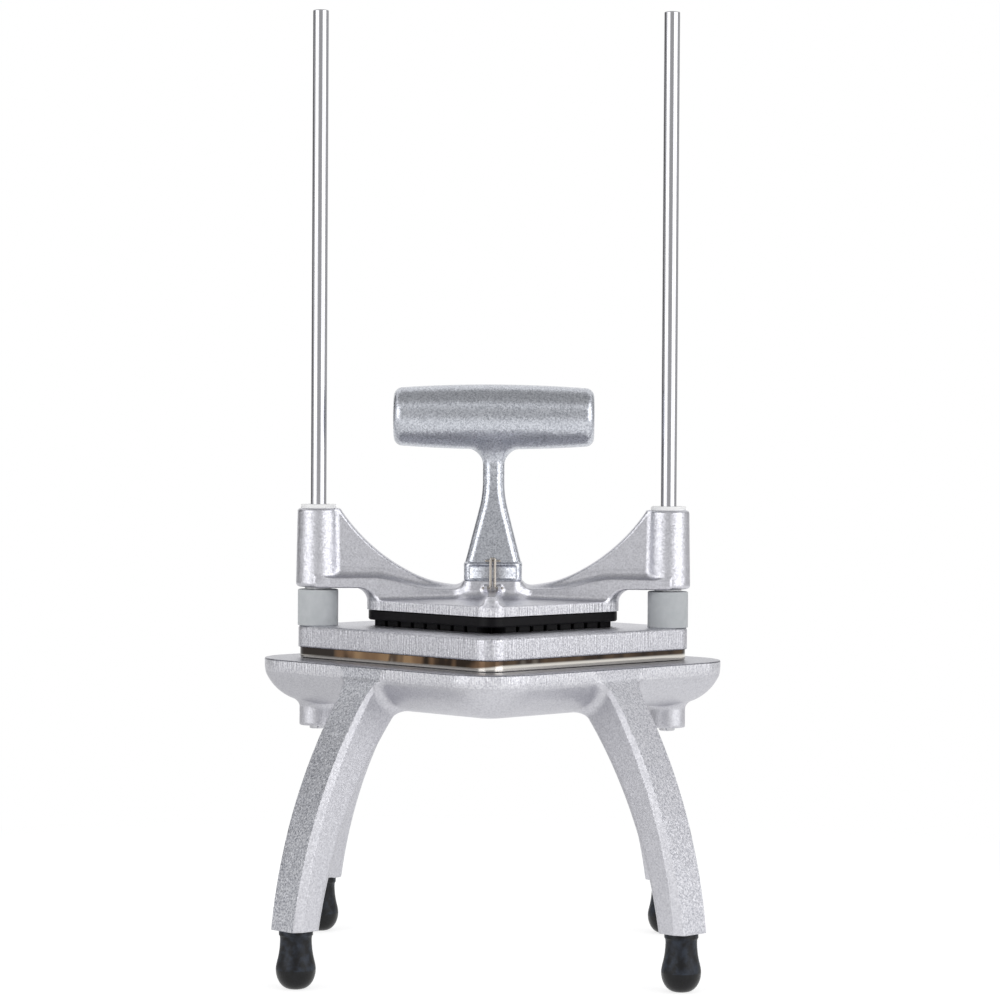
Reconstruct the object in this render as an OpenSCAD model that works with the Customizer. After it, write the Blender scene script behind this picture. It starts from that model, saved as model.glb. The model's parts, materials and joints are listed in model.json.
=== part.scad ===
// Push-down vegetable chopper: a cast pusher slides on two upright rods and drives food
// through a grid of crossed blades, held over a square cast base on four bowed legs.
// Millimetres. Origin on the table under the middle, +Z up, rods on the X axis, front at -Y.
// Every square piece is turned 45 degrees, so its corners lie on the X and Y axes.

/* [Guide rods] */
// Distance between the axes of the two rods
rod_spacing = 175; // [165:1:195]
// Diameter of a rod
rod_d = 7.94; // [6:0.01:9]
// Length of a rod
rod_length = 358.5; // [300:0.5:420]
// How far a rod's end stands out below its boss
rod_tip = 1.8; // [0.5:0.1:4]

/* [Base casting] */
// Height of the deck, the flat top of the base, above the table
deck_z = 151; // [140:1:180]
// Radius of the deck's corners, centred on the rods
deck_corner_r = 26.5; // [22:0.5:32]
// Height of the upright part of the rim
rim_h = 6; // [3:0.5:9]
// Height of the whole tray, from its underside to the deck
deck_h = 22; // [18:0.5:26]
// Diameter of the boss under each rod
base_boss_d = 18; // [15:0.5:22]
// How far a boss hangs below the tray
base_boss_h = 11.7; // [9:0.1:16]
// How much wider than the blade window the drop opening is, on each side
drop_margin = 2; // [0.5:0.5:6]

/* [Legs] */
// How far the axis of a foot stands out past the tray's side
foot_out = 40.83; // [30:0.01:50]
// Width of a leg at the deck
leg_root_w = 19.4; // [16:0.2:26]
// Width of a leg at its foot
leg_end_w = 16.8; // [14:0.2:20]
// Thickness of a leg at the underside of the tray, measured level
leg_root_t = 23; // [18:0.5:28]
// Thickness of a leg at its foot
leg_end_t = 14.2; // [12:0.2:18]
// Slope of the leg's outer face from upright where it leaves the tray
leg_splay = 37.5; // [34:0.5:41]
// Radius of the hollow between the rim and the leg's outer face
leg_flare_r = 30; // [15:1:40]

/* [Rubber feet] */
// Height of the leg ends above the table
foot_h = 28; // [22:0.5:36]
// Diameter of a foot where it meets the leg
foot_neck_d = 16.3; // [13:0.1:20]
// Diameter of a foot at its waist
foot_waist_d = 15; // [12:0.1:16]
// Diameter of the bulb at the bottom
foot_bulb_d = 19; // [16:0.1:24]
// Diameter of the flat that stands on the table
foot_flat_d = 8; // [4:0.5:12]
// Diameter of the plug that holds a foot in its leg
foot_plug_d = 8; // [5:0.5:10]
// Length of that plug
foot_plug_h = 12; // [8:1:18]

/* [Blade set] */
// Distance from blade to blade
cut_pitch = 9.525; // [8.5:0.005:10.4]
// Blades in each of the two rows
blade_count = 8; // [6:1:9]
// Thickness of a blade
blade_t = 0.5; // [0.3:0.05:0.8]
// Height of a blade
blade_h = 4; // [3:0.1:4.6]
// Length of blade held in the frame at each end
blade_hold = 4.5; // [3:0.5:6]
// Height of the ground edge along the top of a blade
blade_edge_h = 0.9; // [0.5:0.1:1.4]
// Thickness of the blade frame
frame_h = 10.7; // [10:0.1:14]
// Radius of the frame's corners, centred on the rods
frame_corner_r = 9.7; // [8:0.1:11]
// Radius of the frame's top edge
frame_edge_r = 1.4; // [0.5:0.1:2.5]
// Height of the steel band under the frame
band_h = 5.5; // [4.5:0.1:8]
// How far the band stands back from the frame's side
band_inset = 0.9; // [0.3:0.1:2]
// Thickness of the band's steel
band_t = 1.5; // [1:0.1:2]
// Width of the seam where the band's ends meet
band_seam = 0.4; // [0.2:0.1:0.8]

/* [Bumpers] */
// Diameter of a rubber bumper
bumper_d = 20.2; // [17:0.1:22]
// Height of a bumper
bumper_h = 18; // [12:0.5:24]

/* [Pusher casting] */
// Height of a boss that slides on a rod
slide_boss_h = 39.5; // [34:0.5:50]
// Diameter of the boss at its top
slide_boss_top_d = 20.8; // [19:0.1:24]
// Diameter of the boss at its bottom
slide_boss_bottom_d = 22.2; // [20:0.1:24]
// How far the plate hangs below the bosses
plate_drop = 10.9; // [8.8:0.1:13]
// Height of the plate's upright rim
plate_rim_h = 4.8; // [3:0.1:6]
// Radius of the plate's corners
plate_corner_r = 2; // [1:0.5:5]
// Radius of the hollow under the arms, round the plate's corners
plate_flare_r = 5.5; // [3:0.5:6]
// Thickness of the two arms
arm_t = 9; // [6:0.5:12]
// Thickness of the ledge along the bottom of the arms
ledge_t = 18; // [14:0.5:20]
// Height of that ledge at the bosses
ledge_h = 4.4; // [3:0.1:6]
// Radius of the arms' curved top edge
arm_curve_r = 92; // [88:1:110]
// Thickness of the ribs that run to the front and rear corners
rib_t = 6.6; // [5:0.2:9]
// Diameter of a bushing's sleeve
bushing_d = 12; // [10.5:0.1:14]
// Length of a bushing's sleeve
bushing_h = 14; // [8:0.5:16]
// Diameter of the flange on the upper bushings
flange_d = 17.5; // [15:0.1:19]
// Height of that flange
flange_h = 2.4; // [1.5:0.1:4]
// Diameter of the lip under the lower bushings
lip_d = 13.4; // [12.5:0.1:16]
// Height of that lip
lip_h = 0.7; // [0.5:0.1:2]

/* [Pusher block] */
// Width of the slots that the blades run in
finger_gap = 1.9; // [1.5:0.1:2.6]
// Length of the fingers below the flange
finger_h = 17.2; // [15.5:0.1:18]
// Gap between the fingers and the frame's window on each side
finger_margin = 1; // [0.5:0.1:1.5]
// How far the block's flange stands out past the fingers
block_lip = 2.6; // [1.2:0.1:3.4]
// Thickness of the block's flange
block_flange_h = 5.1; // [3.5:0.1:7]
// Diameter of the screws that hold the block
block_screw_d = 3; // [2.5:0.1:3.5]

/* [Handle] */
// Length of the grip
grip_length = 100; // [90:1:130]
// Diameter of the grip at its middle
grip_d = 32.4; // [28:0.2:36]
// Diameter of the grip at its ends
grip_end_d = 28.6; // [24:0.2:30]
// Radius of the edges at the grip's ends
grip_edge_r = 4.5; // [2:0.5:7]
// Height of the grip's axis above the top of the hub
grip_rise = 81.4; // [76:0.2:96]
// Width of the handle's foot, and of the hub under it
hub_w = 28.8; // [27:0.2:32]
// Depth of the handle's foot, and of the hub under it
hub_depth = 26; // [24:0.5:30]
// Height of the handle's foot up to its lip
handle_foot_h = 8.8; // [8:0.1:11]
// Width of the stem at its neck
neck_w = 10.7; // [9:0.1:14]
// Depth of the stem at its neck
neck_depth = 11.5; // [9:0.1:14]
// How far the stem stands back from the lip, front and rear
lip_ledge = 1.4; // [1.2:0.1:2]
// Diameter of the spigot that seats the handle in the hub
spigot_d = 14; // [12:0.5:16]
// Length of that spigot
spigot_h = 11; // [7:0.5:13]

/* [Wire clips] */
// Diameter of the wire
wire_d = 1.6; // [1.2:0.1:1.8]
// Distance between the two legs of a clip
clip_legs = 2.6; // [2.4:0.1:3.2]
// Width across the clip's feet
clip_feet_w = 9.6; // [9:0.1:12]
// Width of the bar that hooks over the lip
clip_bar_w = 6.6; // [5:0.1:8]

/* [Clearances] */
// Radial clearance of a bushing on its rod
slide_clearance = 0.05; // [0.02:0.01:0.1]
// Radial clearance of the frame round a rod, and of the spigot in the hub
seat_clearance = 0.1; // [0.05:0.05:0.15]
// Gap between pieces that part when the chopper moves
rest_gap = 0.3; // [0.2:0.05:0.5]
// Clearance of a blade in its slot, on each side
blade_clearance = 0.05; // [0:0.01:0.1]

/* [Hidden] */
$fn = 72;
root2 = sqrt(2);
overcut = 1;
arc_steps = 8;

// The rods and what is stacked on the base, from the table up
rod_x = rod_spacing / 2;
deck_half = rod_x / root2 + deck_corner_r;
tray_z = deck_z - deck_h;
base_boss_z = tray_z - base_boss_h;
rod_z = base_boss_z - rod_tip;
frame_z = deck_z + band_h;
frame_top = frame_z + frame_h;
bumper_top = frame_top + bumper_h;
lip_z = bumper_top + rest_gap;
slide_z = lip_z + lip_h;
slide_top = slide_z + slide_boss_h;
plate_z = slide_z - plate_drop;
rim_top = plate_z + plate_rim_h;
block_z = plate_z - block_flange_h;
finger_z = block_z - finger_h;
hub_top = slide_z + 4.2;
grip_z = hub_top + grip_rise;
handle_lip_z = hub_top + handle_foot_h;

// The tray's underside
tray_curve_inset = deck_corner_r - 3.7;
tray_curve_start = 20;
deck_edge_r = 0.8;
hole_sink = 0.9;
base_boss_draft = 0.5;

// The legs
foot_reach = deck_half + foot_out;
leg_top_z = deck_z - 3;
leg_sink = 0.2;
foot_neck_h = 2.2;
foot_bulb_z = 9.2;

// The blade window, which sets the size of the pusher block and of the plate above it
window = (blade_count + 1) * cut_pitch;
fingers_w = window - 2 * finger_margin;
block_half = fingers_w / 2 + block_lip;
blade_length = window + 2 * blade_hold;
upper_blade_z = frame_z + blade_h;
window_corner_r = 2;

// Screws
set_screw_d = 5;
hex_socket_d = 2.9;
hex_socket_h = 1.5;
band_screw_d = 4;
band_screw_head_d = 7;
band_screw_head_h = 2.2;
band_screw_grip = 6;
screw_reach = (window / 2 + blade_hold + rod_x / root2 + frame_corner_r - band_inset - band_t) / 2;
block_screw_head_d = 5.4;
block_screw_head_h = 3;
block_screw_seat = block_z + 1.6;
block_screw_grip = 5.5;
block_screw_at = 2 * cut_pitch;

// The pusher casting
plate_half = block_half;
plate_span = (plate_half - plate_corner_r) * root2;
hub_corner_r = 4.5;
roof_top = slide_z + 0.9;
roof_half = 11;
arm_curve_z = slide_z + arm_curve_r - 1.2;
arm_end_z = slide_top - 0.4;
arm_inner_x = hub_w / 2 - hub_corner_r / 2;
rib_top = slide_z - 1.6;
rib_end_top = slide_z - 2.4;
socket_floor = hub_top - spigot_h - rest_gap;

// The handle
neck_curve_r = 55;
neck_fillet_r = 8;
recess_w = hub_w - 3;
recess_h = 6.4;
recess_depth = 1.4;
recess_r = 2;

// The wire clips
clip_y = hub_depth / 2 + wire_d / 2 + 0.8;
clip_z = slide_z + 0.7;
clip_ear_r = wire_d / 2 + 1.1;
clip_ear_t = 1.6;
clip_bar_z = handle_lip_z + wire_d / 2 + rest_gap;
clip_bar_y = hub_depth / 2 - 0.3;
clip_clearance = 0.05;
clip_relief_l = 12;

blade_numbers = [1:blade_count];

// Points along an arc about c, from angle a0 to a1
function arc(c, r, a0, a1, steps = arc_steps) =
    [for (i = [0:steps]) let (a = a0 + (a1 - a0) * i / steps) c + r * [cos(a), sin(a)]];

// The same points in reverse order
function backwards(points) = [for (i = [len(points) - 1:-1:0]) points[i]];

// Arc from p to q that leaves p at a given slope from straight down, bowing outwards
function bow(p, q, slope) =
    let (step = q - p,
         chord_slope = atan2(step[0], -step[1]),
         turn = slope - chord_slope,
         r = norm(step) / (2 * sin(turn)),
         c = p - r * [cos(slope), sin(slope)])
    arc(c, r, slope, slope - 2 * turn);

// Points from the foot point f along its tangent to a circle about c and round to its left side
function easing(f, c, r) =
    let (step = c - f,
         reach = norm(step),
         rise = atan2(step[1], step[0]) + asin(r / reach),
         start = rise + 90)
    concat([f], arc(c, r, start, 180));

// Rounded square with its corners on the X and Y axes. half is from the middle to a side.
module corner_square(half, r) {
    inner = half - r;
    rotate(45) {
        square([2 * half, 2 * inner], center = true);
        square([2 * inner, 2 * half], center = true);
        for (x = [-1, 1])
            for (y = [-1, 1])
                translate([x * inner, y * inner])
                    circle(r);
    }
}

// Solid with that plan and a shaped side. span is from the middle to each corner's centre, and
// side is a list of [inset, z] points from the bottom edge to the top one.
module corner_plate(span, corner_r, side) {
    inner = span / root2;
    edge = [for (p = side) [inner + corner_r - p[0], p[1]]];
    far_edge = [for (p = backwards(edge)) [-p[0], p[1]]];
    bottom = side[0][1];
    top = side[len(side) - 1][1];
    for (a = [45, 135])
        rotate(a)
            rotate([90, 0, 0])
                linear_extrude(2 * inner, center = true)
                    polygon(concat(edge, far_edge));
    for (a = [0:90:270])
        rotate(a)
            translate([span, 0, 0])
                rotate_extrude()
                    polygon(concat([[0, bottom]], [for (p = side) [corner_r - p[0], p[1]]], [[0, top]]));
}

module at_rods() {
    for (x = [-rod_x, rod_x])
        translate([x, 0, 0])
            children();
}

module at_diagonals() {
    for (a = [45:90:315])
        rotate(a)
            children();
}

// A bored length along z, open past both ends
module bore(d, z0, z1) {
    translate([0, 0, z0])
        cylinder(d = d, h = z1 - z0);
}

// Base casting

// The tray's side: a curved underside that meets the upright rim, with a small bevel at the deck
function tray_side() =
    let (depth = deck_h - rim_h,
         rise = 1 - sin(tray_curve_start),
         run = cos(tray_curve_start))
    concat(
        [for (i = [0:arc_steps])
            let (a = 90 - (90 - tray_curve_start) * i / arc_steps)
            [tray_curve_inset * (1 - cos(a) / run),
             deck_z - rim_h - depth * (sin(a) - sin(tray_curve_start)) / rise]],
        [[0, deck_z - deck_edge_r], [deck_edge_r, deck_z]]);

// Side view of a leg, with the distance from the middle along x and the height along y
function leg_outer() =
    let (flare_c = [deck_half - leg_sink + leg_flare_r, leg_top_z],
         flare = arc(flare_c, leg_flare_r, 180, 180 + leg_splay),
         start = flare[len(flare) - 1])
    concat(flare, bow(start, [foot_reach + leg_end_t / 2, foot_h], leg_splay));

function leg_inner() =
    let (outer_at_tray = deck_half - leg_sink + leg_flare_r * (1 - cos(leg_splay)),
         start = [outer_at_tray - leg_root_t, tray_z])
    bow(start, [foot_reach - leg_end_t / 2, foot_h], leg_splay + 1);

module leg() {
    root_x = leg_inner()[0][0];
    intersection() {
        rotate([90, 0, 0])
            linear_extrude(2 * leg_root_w, center = true)
                polygon(concat(leg_outer(), backwards(leg_inner()), [[root_x, leg_top_z]]));
        rotate([90, 0, 90])
            linear_extrude(2 * foot_reach)
                polygon([[-leg_end_w / 2, foot_h], [leg_end_w / 2, foot_h],
                    [leg_root_w / 2, deck_z], [-leg_root_w / 2, deck_z]]);
    }
}

module base_casting() {
    color("#b6b7ba")
        difference() {
            union() {
                corner_plate(rod_x, deck_corner_r, tray_side());
                at_rods()
                    translate([0, 0, base_boss_z])
                        cylinder(d1 = base_boss_d - base_boss_draft, d2 = base_boss_d + base_boss_draft,
                            h = base_boss_h + deck_h / 2);
                at_diagonals()
                    leg();
            }
            translate([0, 0, tray_z - overcut])
                linear_extrude(deck_h + 2 * overcut)
                    corner_square(window / 2 + drop_margin, window_corner_r + drop_margin);
            at_rods() {
                bore(rod_d, base_boss_z - overcut, deck_z + overcut);
                translate([0, 0, deck_z - hole_sink])
                    cylinder(d1 = rod_d, d2 = rod_d + 4 * hole_sink, h = 2 * hole_sink);
            }
            beside_rods(set_screw_d, 0, base_boss_d);
            at_diagonals()
                translate([foot_reach, 0, 0])
                    bore(foot_plug_d, foot_h - overcut, foot_h + foot_plug_h);
        }
}

// Rubber feet

module foot() {
    waist_z = foot_h - foot_neck_h;
    flat_r = foot_flat_d / 2;
    bulb_r = foot_bulb_d / 2;
    color("#2b2c31")
        translate([foot_reach, 0, 0])
            rotate_extrude()
                polygon(concat(
                    [[0, 0], [flat_r, 0]],
                    [for (a = [-75:15:0]) [flat_r + (bulb_r - flat_r) * cos(a), foot_bulb_z * (1 + sin(a))]],
                    [for (i = [1:arc_steps])
                        let (t = i / arc_steps)
                        [bulb_r + (foot_waist_d / 2 - bulb_r) * sin(90 * t), foot_bulb_z
                            + (waist_z - foot_bulb_z) * t]],
                    [[foot_neck_d / 2, foot_h - foot_neck_h / 2], [foot_neck_d / 2, foot_h],
                     [foot_plug_d / 2, foot_h], [foot_plug_d / 2, foot_h + foot_plug_h - 0.5],
                     [0, foot_h + foot_plug_h - 0.5]]));
}

// Guide rods and their set screws

module guide_rod() {
    chamfer = 0.6;
    r = rod_d / 2;
    color("#c9cacc")
        translate([0, 0, rod_z])
            rotate_extrude()
                polygon([[0, 0], [r - chamfer, 0], [r, chamfer], [r, rod_length - chamfer],
                    [r - chamfer, rod_length], [0, rod_length]]);
}

// Cylinders that reach for the rods from the sides of their bosses that face the middle. start
// is the distance of their outer ends from the rods' axes, and end that of their inner ends.
module beside_rods(d, start, end) {
    for (side = [-1, 1])
        translate([side * (rod_x - end), 0, base_boss_z + base_boss_h / 2])
            rotate([0, side * 90, 0])
                cylinder(d = d, h = end - start);
}

module rod_set_screws() {
    outer_end = base_boss_d / 2 - 0.4;
    color("#8d8e92")
        difference() {
            beside_rods(set_screw_d, rod_d / 2, outer_end);
            for (side = [-1, 1])
                translate([side * (rod_x - outer_end - overcut), 0, base_boss_z + base_boss_h / 2])
                    rotate([0, side * 90, 0])
                        cylinder(d = hex_socket_d, h = hex_socket_h + overcut, $fn = 6);
        }
}

// Blade frame, blades and band

// The long side of every blade in a row lies along the tray's first diagonal side
module blade_row(z, turn) {
    rotate(45 + turn)
        for (n = blade_numbers)
            translate([0, (n - (blade_count + 1) / 2) * cut_pitch, z])
                children();
}

module blade_slots() {
    slot_w = blade_t + 2 * blade_clearance;
    slot_l = blade_length + 2 * blade_clearance;
    for (row = [0, 1])
        blade_row(frame_z - overcut, 90 * row)
            translate([-slot_l / 2, -slot_w / 2, 0])
                cube([slot_l, slot_w, overcut + blade_h * (row + 1)]);
}

module blade_frame() {
    top_edge = [for (a = [0:22.5:90])
        [frame_edge_r * (1 - cos(a)), frame_top - frame_edge_r * (1 - sin(a))]];
    color("#c0c1c4")
        difference() {
            corner_plate(rod_x, frame_corner_r, concat([[0, frame_z]], top_edge));
            translate([0, 0, frame_z - overcut])
                linear_extrude(frame_h + 2 * overcut)
                    corner_square(window / 2, window_corner_r);
            blade_slots();
            at_rods()
                bore(rod_d + 2 * seat_clearance, frame_z - overcut, frame_top + overcut);
            at_diagonals()
                translate([screw_reach, 0, 0])
                    bore(band_screw_d, frame_z - overcut, frame_z + band_screw_grip);
        }
}

module blade() {
    color("#d5d6d8")
        translate([-blade_length / 2, 0, 0])
            rotate([90, 0, 90])
                linear_extrude(blade_length)
                    polygon([[-blade_t / 2, 0], [blade_t / 2, 0], [blade_t / 2, blade_h - blade_edge_h],
                        [blade_t / 8, blade_h], [-blade_t / 8, blade_h],
                        [-blade_t / 2, blade_h - blade_edge_h]]);
}

module blade_at(number, z, turn) {
    rotate(45 + turn)
        translate([0, (number - (blade_count + 1) / 2) * cut_pitch, z])
            blade();
}

module blade_upper(number) {
    blade_at(number, upper_blade_z, 90);
}

module blade_lower(number) {
    blade_at(number, frame_z, 0);
}

// A folded steel frame: an outer wall on the deck and a flat top that closes the blade slots
module blade_band() {
    half = rod_x / root2 + frame_corner_r - band_inset;
    corner_r = frame_corner_r - band_inset;
    color("#a58a63")
        difference() {
            translate([0, 0, deck_z])
                linear_extrude(band_h)
                    corner_square(half, corner_r);
            translate([0, 0, deck_z - overcut])
                linear_extrude(band_h - band_t + overcut)
                    corner_square(half - band_t, corner_r - band_t);
            translate([0, 0, deck_z])
                linear_extrude(band_h + overcut)
                    corner_square(window / 2, window_corner_r);
            at_rods()
                bore(rod_d + 2 * seat_clearance, deck_z, frame_z + overcut);
            at_diagonals()
                translate([screw_reach, 0, 0])
                    bore(band_screw_d, deck_z, frame_z + overcut);
            rotate(-135)
                translate([half - 2 * band_t, half - corner_r - 4, deck_z - overcut])
                    cube([4 * band_t, band_seam, band_h - band_t + overcut]);
        }
}

module band_screws() {
    head_z = frame_z - band_t - band_screw_head_h;
    color("#b9babd")
        at_diagonals()
            translate([screw_reach, 0, 0])
                difference() {
                    union() {
                        bore(band_screw_head_d, head_z, frame_z - band_t);
                        bore(band_screw_d, head_z, frame_z + band_screw_grip);
                    }
                    translate([0, 0, head_z - overcut])
                        cylinder(d = hex_socket_d, h = overcut + hex_socket_h, $fn = 6);
                }
}

// Bumpers

module bumper() {
    edge = 0.5;
    color("#a9adb0")
        translate([0, 0, frame_top])
            rotate_extrude()
                polygon([[rod_d / 2, 0], [bumper_d / 2 - edge, 0], [bumper_d / 2, edge],
                    [bumper_d / 2, bumper_h - edge], [bumper_d / 2 - edge, bumper_h],
                    [rod_d / 2, bumper_h]]);
}

// Pusher casting

// Front view of the two arms: a hollow top edge that runs from boss to boss past the hub
module arms_outline() {
    c = [0, arm_curve_z];
    end_a = asin((arm_curve_z - arm_end_z) / arm_curve_r);
    start_a = acos(arm_inner_x / arm_curve_r);
    for (side = [0, 1])
        mirror([side, 0])
            polygon(concat(
                [[0, slide_z], [rod_x, slide_z], [rod_x, arm_end_z]],
                arc(c, arm_curve_r, -end_a, -start_a, 16),
                [[0, arm_curve_z - arm_curve_r * sin(start_a)]]));
}

module ledge_outline() {
    for (side = [0, 1])
        mirror([side, 0])
            polygon([[0, slide_z], [rod_x, slide_z], [rod_x, slide_z + ledge_h],
                [rod_x - slide_boss_bottom_d, slide_z + ledge_h], [0, roof_top]]);
}

// The plate's low pyramid, as two crossed ridges with the same slopes
module plate_roof() {
    base_half = plate_half - 0.8;
    intersection_for (a = [45, 135])
        rotate(a)
            rotate([90, 0, 0])
                linear_extrude(3 * plate_half, center = true)
                    polygon([[-base_half, rim_top - overcut], [-base_half, rim_top],
                        [-roof_half, roof_top], [roof_half, roof_top], [base_half, rim_top],
                        [base_half, rim_top - overcut]]);
}

// The hollow that leads from the plate's side out to the underside of the arms
module plate_flare() {
    reach = slide_z - rim_top;
    side = [for (a = [0:15:90])
        [-plate_flare_r * (1 - cos(a)), rim_top + reach * sin(a)]];
    intersection() {
        corner_plate(plate_span, plate_corner_r, concat([[0, plate_z]], side));
        translate([-rod_x, -ledge_t / 2, plate_z])
            cube([2 * rod_x, ledge_t, slide_z - plate_z]);
    }
}

module rib() {
    end_y = plate_span + plate_corner_r - 1;
    translate([-rib_t / 2, 0, 0])
        rotate([90, 0, 90])
            linear_extrude(rib_t)
                polygon([[-end_y, plate_z], [-end_y, rib_end_top - 2], [-end_y + 2, rib_end_top],
                    [0, rib_top], [end_y - 2, rib_end_top], [end_y, rib_end_top - 2],
                    [end_y, plate_z]]);
}

module hub_outline(r) {
    square([hub_w, hub_depth - 2 * r], center = true);
    square([hub_w - 2 * r, hub_depth], center = true);
    for (x = [-1, 1])
        for (y = [-1, 1])
            translate([x * (hub_w / 2 - r), y * (hub_depth / 2 - r)])
                circle(r);
}

module slide_boss() {
    edge = 1.5;
    rotate_extrude()
        polygon([[0, slide_z], [slide_boss_bottom_d / 2 - edge, slide_z],
            [slide_boss_bottom_d / 2, slide_z + edge], [slide_boss_top_d / 2, slide_top - edge],
            [slide_boss_top_d / 2 - edge / 2, slide_top], [0, slide_top]]);
}

// Four eyes, two in front and two behind, for the feet of the wire clips
module clip_ears() {
    for (side = [-1, 1])
        for (x = [-1, 1])
            translate([x * (clip_feet_w / 2 - clip_ear_t / 2 - 0.5) - clip_ear_t / 2, 0, clip_z])
                rotate([90, 0, 90])
                    linear_extrude(clip_ear_t) {
                        translate([side * clip_y, 0])
                            circle(clip_ear_r);
                        translate([side * (clip_y - clip_ear_r), 0])
                            square([2 * clip_ear_r, 2 * clip_ear_r], center = true);
                    }
}

// Hollows in the roof that the legs of the clips swing down into
module clip_reliefs() {
    relief_w = clip_legs + wire_d + 2 * rest_gap;
    relief_z = clip_z - wire_d / 2 - rest_gap;
    for (side = [-1, 1])
        translate([0, side * (clip_y - wire_d / 2 + clip_relief_l / 2), relief_z + clip_relief_l / 2])
            cube([relief_w, clip_relief_l, clip_relief_l], center = true);
}

module pusher_casting() {
    color("#b9babd")
        difference() {
            union() {
                corner_plate(plate_span, plate_corner_r,
                    [[0, plate_z], [0, rim_top - 0.8], [0.8, rim_top]]);
                plate_roof();
                plate_flare();
                rib();
                translate([0, 0, plate_z])
                    linear_extrude(hub_top - plate_z)
                        hub_outline(hub_corner_r);
                rotate([90, 0, 0])
                    linear_extrude(arm_t, center = true)
                        arms_outline();
                rotate([90, 0, 0])
                    linear_extrude(ledge_t, center = true)
                        ledge_outline();
                at_rods()
                    slide_boss();
                clip_ears();
            }
            at_rods()
                bore(bushing_d, slide_z - overcut, slide_top + overcut);
            bore(spigot_d + 2 * seat_clearance, socket_floor, hub_top + overcut);
            for (side = [-1, 1])
                translate([-clip_feet_w, side * clip_y, clip_z])
                    rotate([0, 90, 0])
                        cylinder(d = wire_d + 2 * clip_clearance, h = 2 * clip_feet_w);
            clip_reliefs();
            block_screw_places()
                bore(block_screw_d, plate_z - overcut, plate_z + block_screw_grip);
        }
}

// Bushings in the bosses

module bushing(sleeve_z, sleeve_top, flange_z, flange_w, flange_t) {
    inner_d = rod_d + 2 * slide_clearance;
    color("#dedee1")
        difference() {
            union() {
                bore(bushing_d, sleeve_z, sleeve_top);
                translate([0, 0, flange_z])
                    cylinder(d = flange_w, h = flange_t);
            }
            bore(inner_d, min(sleeve_z, flange_z) - overcut,
                max(sleeve_top, flange_z + flange_t) + overcut);
        }
}

module bushing_upper() {
    bushing(slide_top - bushing_h, slide_top, slide_top, flange_d, flange_h);
}

module bushing_lower() {
    bushing(slide_z, slide_z + bushing_h, lip_z, lip_d, lip_h);
}

// Pusher block

module block_screw_places() {
    rotate(45)
        for (x = [-1, 1])
            for (y = [-1, 1])
                translate([x * block_screw_at, y * block_screw_at, 0])
                    children();
}

module pusher_block() {
    corner_finger = cut_pitch - finger_margin - finger_gap / 2;
    color("#1f1e23")
        difference() {
            union() {
                corner_plate(plate_span, plate_corner_r,
                    [[0, block_z], [0, plate_z]]);
                translate([0, 0, finger_z])
                    linear_extrude(finger_h + overcut)
                        rotate(45)
                            square(fingers_w, center = true);
            }
            for (turn = [0, 90])
                blade_row(finger_z - overcut, turn)
                    translate([-window, -finger_gap / 2, 0])
                        cube([2 * window, finger_gap, finger_h + overcut]);
            rotate(45)
                for (x = [-1, 1])
                    for (y = [-1, 1])
                        translate([x * (fingers_w / 2 - corner_finger / 2),
                            y * (fingers_w / 2 - corner_finger / 2), finger_z - overcut])
                            linear_extrude(finger_h + overcut)
                                square(corner_finger + 2 * 0.6, center = true);
            block_screw_places() {
                bore(block_screw_d, finger_z - overcut, plate_z + overcut);
                bore(block_screw_head_d + 0.2, finger_z - overcut, block_screw_seat);
            }
        }
}

module block_screws() {
    head_z = block_screw_seat - block_screw_head_h;
    color("#b9babd")
        block_screw_places()
            difference() {
                union() {
                    bore(block_screw_head_d, head_z, block_screw_seat);
                    bore(block_screw_d, head_z, plate_z + block_screw_grip);
                }
                translate([0, 0, head_z - overcut])
                    cylinder(d = hex_socket_d, h = overcut + hex_socket_h, $fn = 6);
            }
}

// Handle

// Half a side view of the stem, from the lip up into the grip
function stem_edge(foot_half, neck_half) =
    let (grip_under = grip_z - grip_d / 2,
         neck_top = grip_under - neck_fillet_r,
         neck_bottom = neck_top - neck_fillet_r)
    concat(
        easing([foot_half, handle_lip_z], [neck_half + neck_curve_r, neck_bottom], neck_curve_r),
        arc([neck_half + neck_fillet_r, neck_top], neck_fillet_r, 180, 95),
        [[neck_half + neck_fillet_r / 2, grip_z]]);

module stem_view(foot_half, neck_half, width) {
    edge = stem_edge(foot_half, neck_half);
    rotate([90, 0, 0])
        linear_extrude(width, center = true)
            polygon(concat(edge, [for (p = backwards(edge)) [-p[0], p[1]]]));
}

module grip() {
    half = grip_length / 2;
    sag = (grip_d - grip_end_d) / 2;
    bow_r = (half * half + sag * sag) / (2 * sag);
    span_a = asin((half - grip_edge_r) / bow_r);
    end_r = grip_end_d / 2 - grip_edge_r;
    translate([0, 0, grip_z])
        rotate([0, 90, 0])
            rotate_extrude()
                polygon(concat(
                    [[0, -half], [end_r, -half]],
                    arc([end_r, -half + grip_edge_r], grip_edge_r, -75, -15, 4),
                    arc([grip_d / 2 - bow_r, 0], bow_r, -span_a, span_a, 12),
                    arc([end_r, half - grip_edge_r], grip_edge_r, 15, 75, 4),
                    [[end_r, half], [0, half]]));
}

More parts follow.
